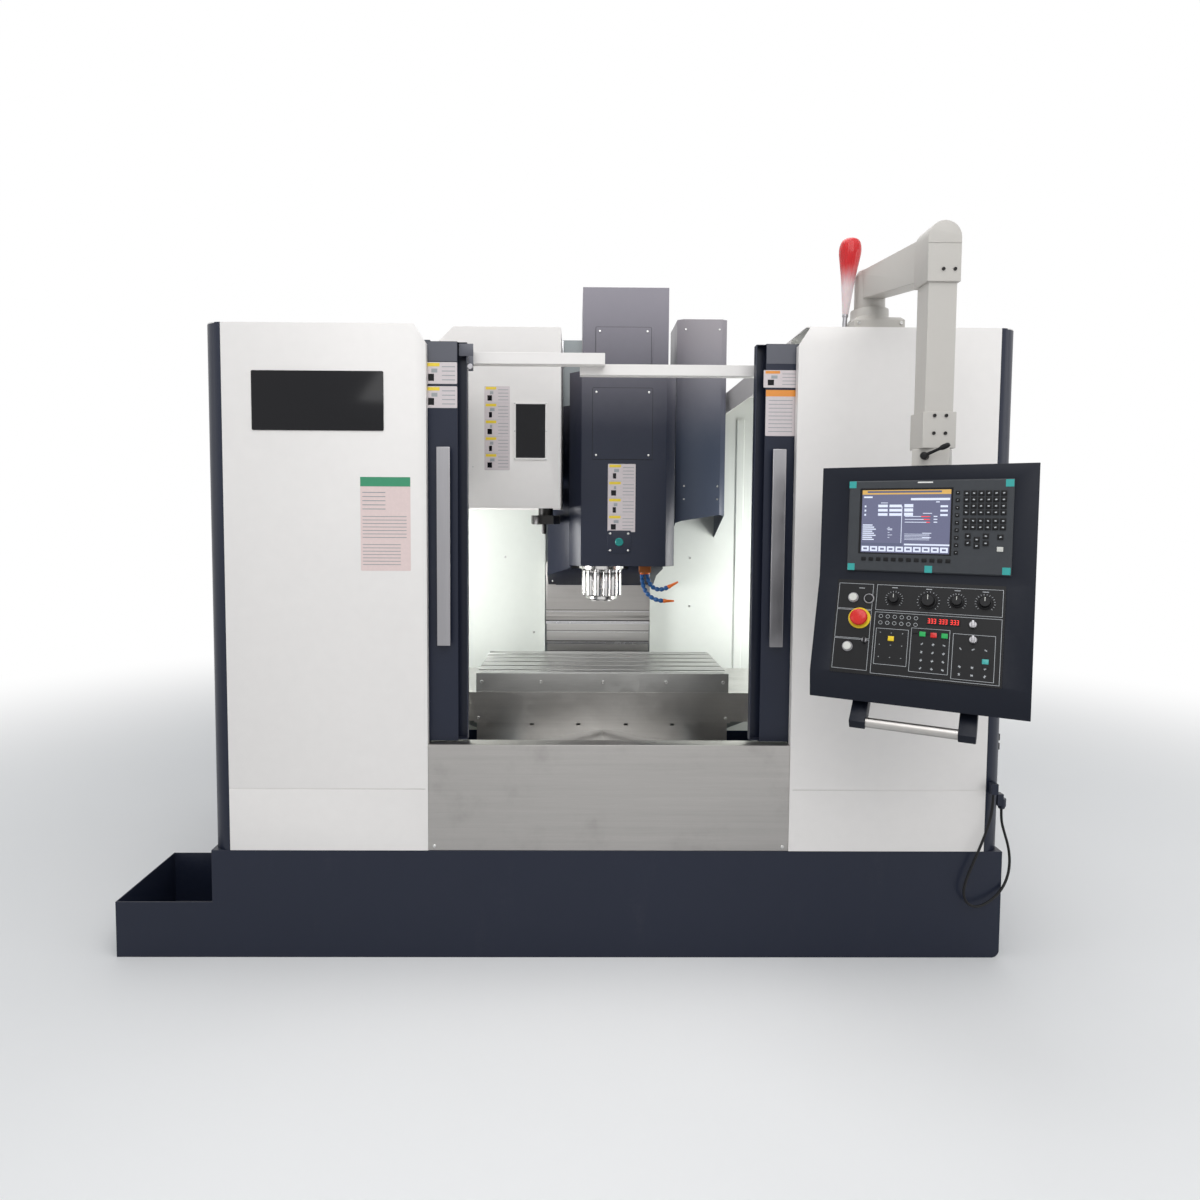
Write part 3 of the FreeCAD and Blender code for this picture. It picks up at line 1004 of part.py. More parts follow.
def make_cabinet():
    t = 2.0
    outer = box(-CAB_HALF, CAB_HALF, CAB_FRONT, CAB_BACK, CAB_BOTTOM, CAB_TOP)
    inner = box(-CAB_HALF + t, CAB_HALF - t, CAB_FRONT + t, CAB_BACK + 1, CAB_BOTTOM + t, CAB_TOP - t)
    stand = [box(x, x + 40, COLUMN_BACK, CAB_FRONT, z, z + 60) for x in (-230, 190) for z in (800, 1900)]
    plate = box(-500, 500, CAB_FRONT + t, CAB_FRONT + t + 12, CAB_BOTTOM + 60, CAB_TOP - 60)
    drives = [box(-420 + k * 130.0, -310 + k * 130.0, CAB_FRONT + 12, CAB_FRONT + 190, 1500, 1860)
              for k in range(4)]
    controls = [box(-420 + k * 60.0, -372 + k * 60.0, CAB_FRONT + 12, CAB_FRONT + 100, 1180, 1290)
                for k in range(12)]
    transformer = box(-400, -160, CAB_FRONT + 12, CAB_FRONT + 210, 640, 860)
    ducts = [box(-440, 400, CAB_FRONT + 12, CAB_FRONT + 72, z, z + 50) for z in (1080, 1360, 1420)]
    shell = fuse(cut(outer, inner), plate, *drives, *controls, transformer, *ducts)
    door = cut(box(-CAB_HALF, CAB_HALF, CAB_BACK + REST, CAB_BACK + 26, CAB_BOTTOM, CAB_TOP),
               box(-CAB_HALF + t, CAB_HALF - t, CAB_BACK, CAB_BACK + 26 - t, CAB_BOTTOM + t, CAB_TOP - t))
    vents = [box(-260, -60, CAB_BACK + 20, CAB_BACK + 30, 640 + k * 22.0, 650 + k * 22.0) for k in range(8)]
    knob = fuse(fluted([(14, 0), (14, 8)], 12, V(440, CAB_BACK + 26, 1300), Y_AXIS),
                box(428, 452, CAB_BACK + 26, CAB_BACK + 46, 1250, 1350))
    corner = V(-CAB_HALF, CAB_BACK + 26, 0)
    room, barrels, knuckles = [], [], []
    for z in HINGE_Z:
        room.append(fluted([(8.5, z - REST), (8.5, z + HINGE_L)], 10, corner, Z_AXIS))
        knuckles.append(fluted([(7, z), (7, z + HINGE_L - REST)], 10, corner, Z_AXIS))
        knuckles.append(box(-CAB_HALF - 7, -CAB_HALF - REST, CAB_BACK - 4, CAB_BACK + 26, z,
                            z + HINGE_L - REST))
        knuckles.append(box(-CAB_HALF - 7, -CAB_HALF, CAB_BACK - 30, CAB_BACK - 4, z, z + HINGE_L - REST))
        barrels.append(rod(7.0, corner + V(0, 0, z + HINGE_L), Z_AXIS, HINGE_L))
    PARTS["electrical_cabinet"] = Part.makeCompound([fuse(shell, *knuckles), *stand])
    PARTS["cabinet_door"] = fuse(cut(door, *vents, *room), knob, *barrels)


CABLE_R = 4.0
CABLE_SIDES = 6
SECTION = 0.5 * CABLE_SIDES * CABLE_R ** 2 * math.sin(2 * math.pi / CABLE_SIDES)
CABLE_ORIGIN = (HALF_WIDTH, FRONT)
CABLE_ROUTE = ((20, 50, 469.6), (20, 50, 432), (28, 43, 394), (37, 32, 352), (36, 18, 308), (21, 2, 264),
               (-7, -12, 226), (-46, -19, 194), (-89, -22, 176), (-122, -22, 190), (-133, -22, 224),
               (-125, -21, 264), (-108, -20, 308), (-88, -18, 354), (-68, -16, 404), (-51, -14, 454),
               (-43, -13, 500), (-43, -13, 538.6))


def rounded_path(points):
    """Straight runs joined by tangent arcs as large as the runs allow."""
    nodes = [V(x + CABLE_ORIGIN[0], y + CABLE_ORIGIN[1], z) for x, y, z in points]
    edges, start, radii = [], nodes[0], []
    for k in range(1, len(nodes) - 1):
        a, b, c = nodes[k - 1], nodes[k], nodes[k + 1]
        back, ahead = (a - b), (c - b)
        run = min(back.Length, ahead.Length) * 0.45
        back.normalize()
        ahead.normalize()
        turn = math.pi - back.getAngle(ahead)
        radii.append(run / math.tan(turn / 2))
        p0, p1 = b + back * run, b + ahead * run
        middle = (back + ahead).normalize()
        centre_gap = radii[-1] / math.cos(turn / 2)
        mid = b + middle * (centre_gap - radii[-1])
        edges.append(Part.makeLine(start, p0))
        edges.append(Part.Arc(p0, mid, p1).toShape())
        start = p1
    edges.append(Part.makeLine(start, nodes[-1]))
    return Part.Wire(edges), radii


def make_cable():
    path, radii = rounded_path(CABLE_ROUTE)
    first = path.Vertexes[0].Point
    corners = [first + p for p in ring(CABLE_R, CABLE_SIDES, 0)]
    tube = path.makePipeShell([Part.makePolygon(corners + corners[:1])], True, False)
    print("cable length %.0f, volume ratio %.4f, radii %s" % (
        path.Length, tube.Volume / (SECTION * path.Length), [round(r) for r in radii]))
    PARTS["power_cable"] = tube


def cable_fittings():
    """The gland that the cable leaves and the clip that holds its other end."""
    x, y = CABLE_ORIGIN[0] + CABLE_ROUTE[0][0], CABLE_ORIGIN[1] + CABLE_ROUTE[0][1]
    gland = fuse(fluted([(9, 470), (13, 480), (13, 504)], 12, V(x, y, 0), Z_AXIS),
                 box(HALF_WIDTH, x, y - 12, y + 12, 482, 520))
    centre = V(HALF_WIDTH - POST_R, FRONT + POST_R, 500)
    x, y = CABLE_ORIGIN[0] + CABLE_ROUTE[-1][0], CABLE_ORIGIN[1] + CABLE_ROUTE[-1][1]
    clip = cut(box(x - 11, x + 11, y - 10, y + 53, 540, 574), rod(POST_R, centre, Z_AXIS, 100))
    return gland, clip


# ---- build -----------------------------------------------------------------
def build():
    make_base()
    make_feet()
    make_bed()
    make_rails()
    make_column()
    make_axis_motors()
    make_saddle()
    make_table()
    make_x_covers()
    stage_bottom = make_z_covers()
    make_head()
    PARTS["head_cover"] = Part.makeCompound([*make_head_covers(), make_skirt(stage_bottom)])
    make_coolant()
    make_magazine()
    make_enclosure()
    make_front()
    make_doors()
    make_panel()
    make_arm()
    make_cabinet()
    make_cable()


build()
os.makedirs("parts", exist_ok=True)
for node, shape in PARTS.items():
    shape.exportStep("parts/" + node + ".step")
print(len(PARTS), "nodes")
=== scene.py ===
import json
import math

import bmesh
import bpy
from mathutils import Matrix, Vector


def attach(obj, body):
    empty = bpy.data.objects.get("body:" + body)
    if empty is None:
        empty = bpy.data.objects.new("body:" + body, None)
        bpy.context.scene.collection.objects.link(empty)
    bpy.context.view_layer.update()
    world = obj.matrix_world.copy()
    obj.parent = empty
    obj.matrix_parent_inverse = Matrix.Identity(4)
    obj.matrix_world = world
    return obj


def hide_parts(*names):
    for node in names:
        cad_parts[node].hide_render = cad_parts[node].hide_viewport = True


# Looks of the machining centre. Places are in millimetres in the part's own frame:
# +X right, +Y back, +Z up, the origin on the floor under the spindle.

MM = 0.001
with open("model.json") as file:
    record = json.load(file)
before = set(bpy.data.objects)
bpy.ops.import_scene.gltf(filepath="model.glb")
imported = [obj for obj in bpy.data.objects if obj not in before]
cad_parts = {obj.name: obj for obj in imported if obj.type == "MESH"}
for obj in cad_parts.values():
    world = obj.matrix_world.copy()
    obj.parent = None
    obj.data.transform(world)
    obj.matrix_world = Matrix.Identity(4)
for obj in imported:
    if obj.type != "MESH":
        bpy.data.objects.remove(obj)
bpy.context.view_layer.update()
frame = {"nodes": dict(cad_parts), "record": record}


# ---- shader maths ----------------------------------------------------------
class Shade:
    """A value in a finish, so that its maths reads as plain arithmetic."""

    def __init__(self, paint, socket):
        self.paint = paint
        self.socket = socket

    def maths(self, operation, first, second):
        return self.paint.node("ShaderNodeMath", {"operation": operation}, {0: first, 1: second})

    def __add__(self, other):
        return self.maths("ADD", self, other)

    def __radd__(self, other):
        return self.maths("ADD", other, self)

    def __sub__(self, other):
        return self.maths("SUBTRACT", self, other)

    def __rsub__(self, other):
        return self.maths("SUBTRACT", other, self)

    def __mul__(self, other):
        return self.maths("MULTIPLY", self, other)

    def __rmul__(self, other):
        return self.maths("MULTIPLY", other, self)

    def __truediv__(self, other):
        return self.maths("DIVIDE", self, other)

    def at_least(self, other):
        return self.maths("MAXIMUM", self, other)

    def step(self, low, high):
        """0 below low, 1 above high, and smooth between them."""
        return self.paint.node("ShaderNodeMapRange", {"interpolation_type": "SMOOTHSTEP"},
                               {"Value": self, "From Min": low, "From Max": high})


class Paint:
    """A finish: its material, its nodes and the shader that they feed."""

    def __init__(self, name, **constants):
        self.material = bpy.data.materials.new(name)
        self.material.use_nodes = True
        self.tree = self.material.node_tree
        self.shader = self.tree.nodes["Principled BSDF"]
        for socket, value in constants.items():
            self.shader.inputs[socket.replace("_", " ")].default_value = value
        self.place = self.node("ShaderNodeTexCoord", output="Object")

    def node(self, kind, settings=(), values=(), output=0):
        made = self.tree.nodes.new(kind)
        for key, value in dict(settings).items():
            setattr(made, key, value)
        for key, value in dict(values).items():
            if isinstance(value, Shade):
                self.tree.links.new(value.socket, made.inputs[key])
            else:
                made.inputs[key].default_value = value
        return Shade(self, made.outputs[output])

    def axis(self, letter):
        return self.node("ShaderNodeSeparateXYZ", values={0: self.place}, output="XYZ".index(letter))

    def squeezed(self, scales):
        return self.node("ShaderNodeVectorMath", {"operation": "MULTIPLY"}, {0: self.place, 1: scales})

    def noise(self, scale, detail=2.0, rough=0.5, squeeze=None):
        place = self.squeezed(squeeze) if squeeze else self.place
        return self.node("ShaderNodeTexNoise", values={
            "Vector": place, "Scale": scale, "Detail": detail, "Roughness": rough})

    def up(self):
        """1 where a face looks up, 0 on upright faces."""
        normal = self.node("ShaderNodeNewGeometry", output="Normal")
        return self.node("ShaderNodeSeparateXYZ", values={0: normal}, output=2).at_least(0.0)

    def tint(self, colour, tone):
        return self.node("ShaderNodeVectorMath", {"operation": "SCALE"}, {0: colour, "Scale": tone})

    def mix(self, first, second, factor):
        values = {6: opaque(first), 7: opaque(second), 0: factor}
        return self.node("ShaderNodeMix", {"data_type": "RGBA"}, values, output=2)

    def feed(self, heights=(), **sockets):
        for name, value in sockets.items():
            socket = self.shader.inputs[name.replace("_", " ")]
            if isinstance(value, Shade):
                self.tree.links.new(value.socket, socket)
            else:
                socket.default_value = opaque(value) if name.endswith("Color") else value
        normal = None
        for height, distance, strength in heights:
            values = {"Height": height, "Distance": distance, "Strength": strength}
            if normal:
                values["Normal"] = normal
            normal = self.node("ShaderNodeBump", values=values)
        if normal:
            self.tree.links.new(normal.socket, self.shader.inputs["Normal"])
        return self.material


def opaque(value):
    return (*value, 1.0) if isinstance(value, tuple) and len(value) == 3 else value


# ---- finishes --------------------------------------------------------------
DUST = (0.55, 0.53, 0.49)


def coated(name, colour, rough, peel=0.00010, coat=0.0, dust=0.0, shine=0.5, painted_glare=None):
    """Sprayed and baked paint: orange peel, faint clouds, wiping marks, dust on ledges, painted glare up high.
    """
    paint = Paint(name, Specular_IOR_Level=shine, Coat_Weight=coat, Coat_Roughness=0.25)
    cloud = paint.noise(1.7, 3.0)
    mottle = paint.noise(26.0, 4.0, 0.6)
    wiped = paint.noise(9.0, 4.0, 0.7, (1.0, 1.0, 0.22))
    grain = paint.noise(620.0, 2.0)
    colour = paint.tint(colour, 0.93 + cloud * 0.09 + mottle * 0.05)
    if dust:
        film = paint.up() * 0.75 + wiped.step(0.52, 0.8) * 0.25
        colour = paint.mix(colour, DUST, film * paint.noise(60.0, 4.0, 0.7).step(0.3, 0.75) * dust)
    # Painted glare: the colour pales towards the top, standing in for light falling on the upper faces.
    if painted_glare:
        low, high, pale = painted_glare
        colour = paint.mix(colour, pale, (paint.axis("Z") + mottle * 0.03).step(low, high))
    roughness = rough - 0.05 + wiped * 0.10 + mottle.step(0.55, 0.75) * 0.06
    bumps = [(grain, peel, 0.5), (mottle, peel * 2.0, 0.25)]
    return paint.feed(bumps, Base_Color=colour, Roughness=roughness)


def brushed(name, colour, rough, along="X", coarse=1.0, dirt=0.15):
    """Sheet steel ground in one direction, with scratches, finger marks and a dull film."""
    paint = Paint(name, Metallic=1.0)
    fine = tuple(9.0 if letter == along else 900.0 for letter in "XYZ")
    long = tuple(1.2 if letter == along else 70.0 for letter in "XYZ")
    hair = paint.noise(coarse, 3.0, 0.6, fine)
    streak = paint.noise(1.0, 3.0, 0.55, long)
    film = paint.noise(5.0, 4.0, 0.65)
    marks = paint.noise(44.0, 5.0, 0.7)
    tone = 0.80 + hair * 0.22 + streak * 0.20 - film.step(0.5, 0.8) * dirt
    roughness = rough - 0.06 + hair * 0.12 + film.step(0.45, 0.75) * 0.12 + marks.step(0.58, 0.7) * 0.06
    return paint.feed([(hair, 0.00004, 0.5), (streak, 0.0002, 0.15)],
                      Base_Color=paint.tint(colour, tone), Roughness=roughness)


def machined(name, colour, rough, metallic=1.0):
    """Turned or milled metal: a fine tool trace and faint stains."""
    paint = Paint(name, Metallic=metallic)
    trace = paint.noise(1.0, 2.0, 0.5, (90.0, 90.0, 1400.0))
    stain = paint.noise(30.0, 4.0, 0.65)
    tone = 0.85 + trace * 0.16 + stain * 0.12
    return paint.feed([(trace, 0.00003, 0.5)], Base_Color=paint.tint(colour, tone),
                      Roughness=rough - 0.04 + trace * 0.08 + stain.step(0.5, 0.75) * 0.10)


def table_face():
    """Ground cast iron with an oil film and faint rust in the pores."""
    paint = Paint("table_iron", Metallic=0.85)
    ground = paint.noise(1.0, 3.0, 0.6, (14.0, 620.0, 620.0))
    pore = paint.noise(900.0, 2.0)
    stain = paint.noise(7.0, 5.0, 0.65)
    colour = paint.tint((0.46, 0.46, 0.45), 0.78 + ground * 0.3 + stain * 0.16)
    colour = paint.mix(colour, (0.16, 0.12, 0.09), pore.step(0.64, 0.75) * 0.5)
    return paint.feed([(ground, 0.00005, 0.5), (pore, 0.00005, 0.3)], Base_Color=colour,
                      Roughness=0.26 + ground * 0.12 + stain.step(0.5, 0.7) * 0.16)


def cast_enamel():
    """Thick machine enamel over a sand casting."""
    paint = Paint("casting_paint", Coat_Weight=0.15)
    sand = paint.noise(210.0, 4.0, 0.6)
    wave = paint.noise(24.0, 3.0)
    oil = paint.noise(3.2, 4.0, 0.7, (1.0, 1.0, 0.35))
    colour = paint.tint((0.30, 0.33, 0.34), 0.86 + wave * 0.14 + sand * 0.10)
    colour = paint.mix(colour, (0.10, 0.095, 0.085), oil.step(0.60, 0.85) * 0.45)
    return paint.feed([(sand, 0.0004, 0.45), (wave, 0.0010, 0.3)], Base_Color=colour,
                      Roughness=0.52 - oil.step(0.5, 0.8) * 0.2)


def moulded(name, colour, rough, grain=0.00008, clear=0.0):
    """Moulded plastic or rubber with a fine spark-eroded grain."""
    paint = Paint(name, Coat_Weight=clear, Coat_Roughness=0.08, Specular_IOR_Level=0.2)
    spark = paint.noise(1500.0, 2.0)
    touch = paint.noise(48.0, 3.0, 0.6)
    colour = paint.tint(colour, 0.88 + touch * 0.2 + spark * 0.06)
    return paint.feed([(spark, grain, 0.5)], Base_Color=colour, Roughness=rough - 0.05 + touch * 0.12)


def printed(name, colour, rough, shine=0.5):
    """A smooth printed or lacquered plate, a little uneven in its ink."""
    paint = Paint(name, Coat_Weight=shine * 0.5, Coat_Roughness=0.12, Specular_IOR_Level=shine)
    ink = paint.noise(130.0, 4.0, 0.6)
    lie = paint.noise(11.0, 2.0)
    colour = paint.tint(colour, 0.92 + ink * 0.14)
    return paint.feed([(lie, 0.0006, 0.2)], Base_Color=colour, Roughness=rough)


def lit(name, colour, glow):
    """A lit display field under its cover, with a faint raster."""
    paint = Paint(name, Emission_Strength=glow)
    raster = paint.noise(1.0, 1.0, 0.5, (600.0, 600.0, 2400.0))
    return paint.feed(Base_Color=paint.tint(colour, 0.5 + raster * 0.2),
                      Emission_Color=paint.tint(colour, 0.85 + raster * 0.3), Roughness=0.15)


def window_glass():
    """The doors' clear sheet with faint smears."""
    paint = Paint("door_window", IOR=1.5)
    smear = paint.noise(6.0, 4.0, 0.7)
    return paint.feed(Base_Color=paint.tint((0.55, 0.62, 0.60), 0.9 + smear * 0.15),
                      Roughness=0.04 + smear.step(0.55, 0.8) * 0.10,
                      Alpha=0.34 + smear.step(0.5, 0.85) * 0.08)


def lamp_shell(low, high):
    """A translucent lamp: clear at its foot and deep red at its head."""
    paint = Paint("lamp_shell", Coat_Weight=0.2, Coat_Roughness=0.06, Specular_IOR_Level=0.25,
                  Subsurface_Weight=0.25, Subsurface_Scale=0.02)
    rise = (paint.axis("Z") - low * MM) / ((high - low) * MM)
    flute = paint.noise(1.0, 2.0, 0.5, (160.0, 160.0, 8.0))
    colour = paint.mix((0.66, 0.60, 0.61), (0.52, 0.010, 0.014), (rise + flute * 0.10).step(0.32, 0.70))
    return paint.feed([(flute, 0.0006, 0.3)], Base_Color=colour, Roughness=0.16 + flute * 0.08,
                      Emission_Color=(0.30, 0.01, 0.01), Emission_Strength=0.12)


NAVY = (0.011, 0.015, 0.031)
SATIN = {"coat": 0.03, "dust": 0.06, "shine": 0.3}
# Heights in metres over which the painted glare pales the head and duct paints towards their pale colour.
GLARE_FROM, GLARE_TO = 1.70, 2.36
GLOSSY = {"grain": 0.00003, "clear": 0.3}
CARD_ROUGH = 0.35
FINISHES = {
    coated: {
        "navy_paint": (NAVY, 0.36, SATIN),
        "head_paint": (NAVY, 0.36, {**SATIN, "painted_glare": (GLARE_FROM, GLARE_TO, (0.25, 0.235, 0.27))}),
        "duct_paint": ((0.055, 0.068, 0.100), 0.36,
                       {**SATIN, "coat": 0.0, "painted_glare": (GLARE_FROM, GLARE_TO, (0.28, 0.26, 0.28))}),
        "cream_paint": ((0.78, 0.755, 0.735), 0.42, {"peel": 0.00007, "dust": 0.10}),
        "inner_paint": ((0.72, 0.76, 0.71), 0.34, {"peel": 0.00007, "coat": 0.1}),
        "housing_paint": ((0.005, 0.007, 0.014), 0.42, {"dust": 0.02, "shine": 0.2}),
        "arm_paint": ((0.50, 0.478, 0.445), 0.44, {"peel": 0.00007}),
        "motor_black": ((0.020, 0.020, 0.022), 0.45, {"dust": 0.15}),
        "strip_grey": ((0.075, 0.078, 0.098), 0.34),
    },
    brushed: {
        "cover_steel": ((0.53, 0.52, 0.505), 0.32),
        "stainless": ((0.42, 0.405, 0.39), 0.34, {"coarse": 1.3, "dirt": 0.16}),
        "ground_steel": ((0.52, 0.52, 0.53), 0.24, {"along": "Y"}),
        "handle_metal": ((0.32, 0.315, 0.33), 0.34, {"along": "Z", "dirt": 0.06}),
    },
    machined: {
        "spindle_steel": ((0.66, 0.65, 0.64), 0.22),
        "black_oxide": ((0.035, 0.034, 0.034), 0.34, {"metallic": 0.8}),
        "bright_screw": ((0.62, 0.62, 0.61), 0.28),
    },
    moulded: {
        "hose_blue": ((0.012, 0.085, 0.26), 0.28, GLOSSY),
        "orange_tip": ((0.75, 0.16, 0.02), 0.32, GLOSSY),
        "plug_teal": ((0.01, 0.24, 0.22), 0.30, GLOSSY),
        "stop_red": ((0.60, 0.015, 0.012), 0.26, {**GLOSSY, "clear": 0.4}),
        "cable_black": ((0.014, 0.014, 0.015), 0.48, {"grain": 0.00005}),
        "valve_brown": ((0.34, 0.10, 0.02), 0.38),
        "bezel_grey": ((0.050, 0.054, 0.060), 0.42),
        "seal_black": ((0.016, 0.016, 0.016), 0.55),
        "key_black": ((0.008, 0.008, 0.009), 0.40),
        "key_white": ((0.62, 0.62, 0.58), 0.38),
        "key_green": ((0.03, 0.38, 0.10), 0.34),
        "key_yellow": ((0.78, 0.55, 0.03), 0.34),
    },
    printed: {
        "gloss_black": ((0.006, 0.006, 0.008), 0.12, {"shine": 0.2}),
        "card_white": ((0.78, 0.78, 0.75), CARD_ROUGH),
        "card_pink": ((0.74, 0.60, 0.58), CARD_ROUGH),
        "card_blush": ((0.60, 0.54, 0.55), CARD_ROUGH),
        "card_green": ((0.03, 0.26, 0.13), CARD_ROUGH),
        "card_orange": ((0.72, 0.26, 0.03), CARD_ROUGH),
        "card_yellow": ((0.78, 0.58, 0.03), CARD_ROUGH),
        "card_grey": ((0.30, 0.32, 0.33), CARD_ROUGH),
        "card_teal": ((0.02, 0.34, 0.32), CARD_ROUGH),
        "line_pale": ((0.46, 0.48, 0.50), CARD_ROUGH),
    },
    lit: {
        "screen_field": ((0.10, 0.105, 0.175), 0.85),
        "screen_amber": ((0.50, 0.30, 0.08), 0.9),
        "screen_light": ((0.56, 0.60, 0.72), 0.9),
        "screen_dark": ((0.08, 0.09, 0.15), 0.8),
        "digit_red": ((0.85, 0.03, 0.02), 1.2),
    },
}
PAINTS = {"casting_paint": cast_enamel(), "table_iron": table_face(), "door_window": window_glass(),
          "lamp_red": lamp_shell(2060.0, 2285.0)}
for maker, rows in FINISHES.items():
    for name, (colour, value, *more) in rows.items():
        PAINTS[name] = maker(name, colour, value, **dict(*more))


# ---- places and solids -----------------------------------------------------
class Place:
    """A flat place on the machine, drawn in (right, up, out) millimetres."""

    def __init__(self, origin, right=(1, 0, 0), up=(0, 0, 1)):
        self.origin, self.right, self.up = Vector(origin), Vector(right).normalized(), Vector(up).normalized()
        self.out = self.right.cross(self.up)

    def matrix(self):
        columns = Matrix((self.right, self.up, self.out)).transposed() * MM
        return Matrix.Translation(self.origin * MM) @ columns.to_4x4()

    def spot(self, right, up, out=0.0):
        """A point of the place with the way it faces and its own right-hand direction."""
        return (self.origin + self.right * right + self.up * up + self.out * out, self.out, self.right)


def front(y):
    """The plane at y that looks to the front, with X to the right and Z up."""
    return Place((0, y, 0))


WORLD = Place((0, 0, 0), (1, 0, 0), (0, 1, 0))
SHARP = math.radians(32.0)


class Solid:
    """Closed faces drawn in a place, in millimetres."""

    def __init__(self, place=WORLD):
        self.place = place
        self.faces = bmesh.new()
        self.paints = []

    def slot(self, paint):
        if paint not in self.paints:
            self.paints.append(paint)
        return self.paints.index(paint)

    def add(self, shape, paint):
        index = self.slot(paint)
        for face in shape.faces:
            face.material_index = index
        shape.transform(self.place.matrix())
        loose = bpy.data.meshes.new("loose")
        shape.to_mesh(loose)
        shape.free()
        self.faces.from_mesh(loose)
        bpy.data.meshes.remove(loose)

    def block(self, paint, x0, x1, y0, y1, z0, z1, corner=0.0, edge=0.0, steps=3):
        """A block whose four upright corners and then all edges are rounded."""
        shape = bmesh.new()
        bmesh.ops.create_cube(shape, size=1.0)
        for v in shape.verts:
            v.co = Vector(((x0 + x1) / 2 + v.co.x * (x1 - x0), (y0 + y1) / 2 + v.co.y * (y1 - y0),
                           (z0 + z1) / 2 + v.co.z * (z1 - z0)))
        if corner:
            upright = [e for e in shape.edges if abs((e.verts[0].co - e.verts[1].co).z) > (z1 - z0) * 0.5]
            bmesh.ops.bevel(shape, geom=upright, offset=corner, segments=steps + 1, profile=0.5, affect="EDGES")
        if edge:
            rims = [e for e in shape.edges if e.calc_face_angle(0.0) > 0.9]
            bmesh.ops.bevel(shape, geom=rims, offset=edge, segments=steps, profile=0.5, affect="EDGES")
        self.add(shape, paint)

    def outline(self, paint, points, z0, z1, edge=0.0):
        """A closed outline of (x, y) points raised from z0 to z1."""
        shape = bmesh.new()
        base = shape.faces.new([shape.verts.new((x, y, z0)) for x, y in points])
        top = bmesh.ops.extrude_face_region(shape, geom=[base])["geom"]
        raised = [v for v in top if isinstance(v, bmesh.types.BMVert)]
        bmesh.ops.translate(shape, vec=(0, 0, z1 - z0), verts=raised)
        bmesh.ops.recalc_face_normals(shape, faces=shape.faces)
        if edge:
            rims = [e for e in shape.edges if e.calc_face_angle(0.0) > 0.5]
            bmesh.ops.bevel(shape, geom=rims, offset=edge, segments=2, profile=0.5, affect="EDGES")
        self.add(shape, paint)

    def lathe(self, paint, profile, centre=(0, 0, 0), sides=40, six=(), ribs=0, rib=0.0):
        """A profile of (radius, height) turned about the out direction, with hexagon rings or ribs."""
        shape = bmesh.new()
        rings = []
        for k, (radius, height) in enumerate(profile):
            if radius < 1e-6:
                rings.append([shape.verts.new((centre[0], centre[1], centre[2] + height))])
                continue
            ring = []
            for n in range(sides):
                a = 2 * math.pi * n / sides
                flat = math.cos(math.pi / 6) / math.cos((a + math.pi / 6) % (math.pi / 3) - math.pi / 6)
                r = radius * (flat if k in six else 1.0) - rib * (0.5 - 0.5 * math.cos(ribs * a))
                ring.append(shape.verts.new((centre[0] + r * math.cos(a), centre[1] + r * math.sin(a),
                                             centre[2] + height)))
            rings.append(ring)
        for low, high in zip(rings, rings[1:]):
            for n in range(sides):
                m = (n + 1) % sides
                corners = [low[n % len(low)], low[m % len(low)], high[m % len(high)], high[n % len(high)]]
                shape.faces.new(list(dict.fromkeys(corners)))
        bmesh.ops.recalc_face_normals(shape, faces=shape.faces)
        self.add(shape, paint)

    def mesh(self, name):
        made = bpy.data.meshes.new(name)
        self.faces.to_mesh(made)
        self.faces.free()
        for paint in self.paints:
            made.materials.append(PAINTS[paint])
        made.shade_smooth()
        made.set_sharp_from_angle(angle=SHARP)
        return made

    def piece(self, name, body, stands_for=()):
        return riding(bpy.data.objects.new(name, self.mesh(name)), body, stands_for)


def riding(thing, body, stands_for=()):
    """Puts a finished piece in the scene on its body."""
    if thing.name not in bpy.context.scene.collection.objects:
        bpy.context.scene.collection.objects.link(thing)
    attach(thing, body)
    if stands_for:
        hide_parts(*stands_for)
    return thing


# ---- repeats by geometry nodes ---------------------------------------------
class Growth:
    """A geometry node tree that is being built."""

    def __init__(self, name, **inputs):
        self.tree = bpy.data.node_groups.new(name, "GeometryNodeTree")
        face = self.tree.interface
        face.new_socket("Geometry", in_out="INPUT", socket_type="NodeSocketGeometry")
        for label, kind in inputs.items():
            face.new_socket(label, in_out="INPUT", socket_type="NodeSocket" + kind)
        face.new_socket("Geometry", in_out="OUTPUT", socket_type="NodeSocketGeometry")
        self.given = self.tree.nodes.new("NodeGroupInput").outputs

    def node(self, kind, settings=(), values=(), output=0):
        made = self.tree.nodes.new(kind)
        for key, value in dict(settings).items():
            setattr(made, key, value)
        for key, value in dict(values).items():
            if isinstance(value, bpy.types.NodeSocket):
                self.tree.links.new(value, made.inputs[key])
            else:
                made.inputs[key].default_value = value
        return made.outputs[output]

    def end(self, instances):
        solid = self.node("GeometryNodeRealizeInstances", values={"Geometry": instances})
        painted = self.node("GeometryNodeSetMaterial", values={
            "Geometry": solid, "Material": self.given["Paint"]})
        close = self.tree.nodes.new("NodeGroupOutput")
        self.tree.links.new(painted, close.inputs[0])
        return self.tree


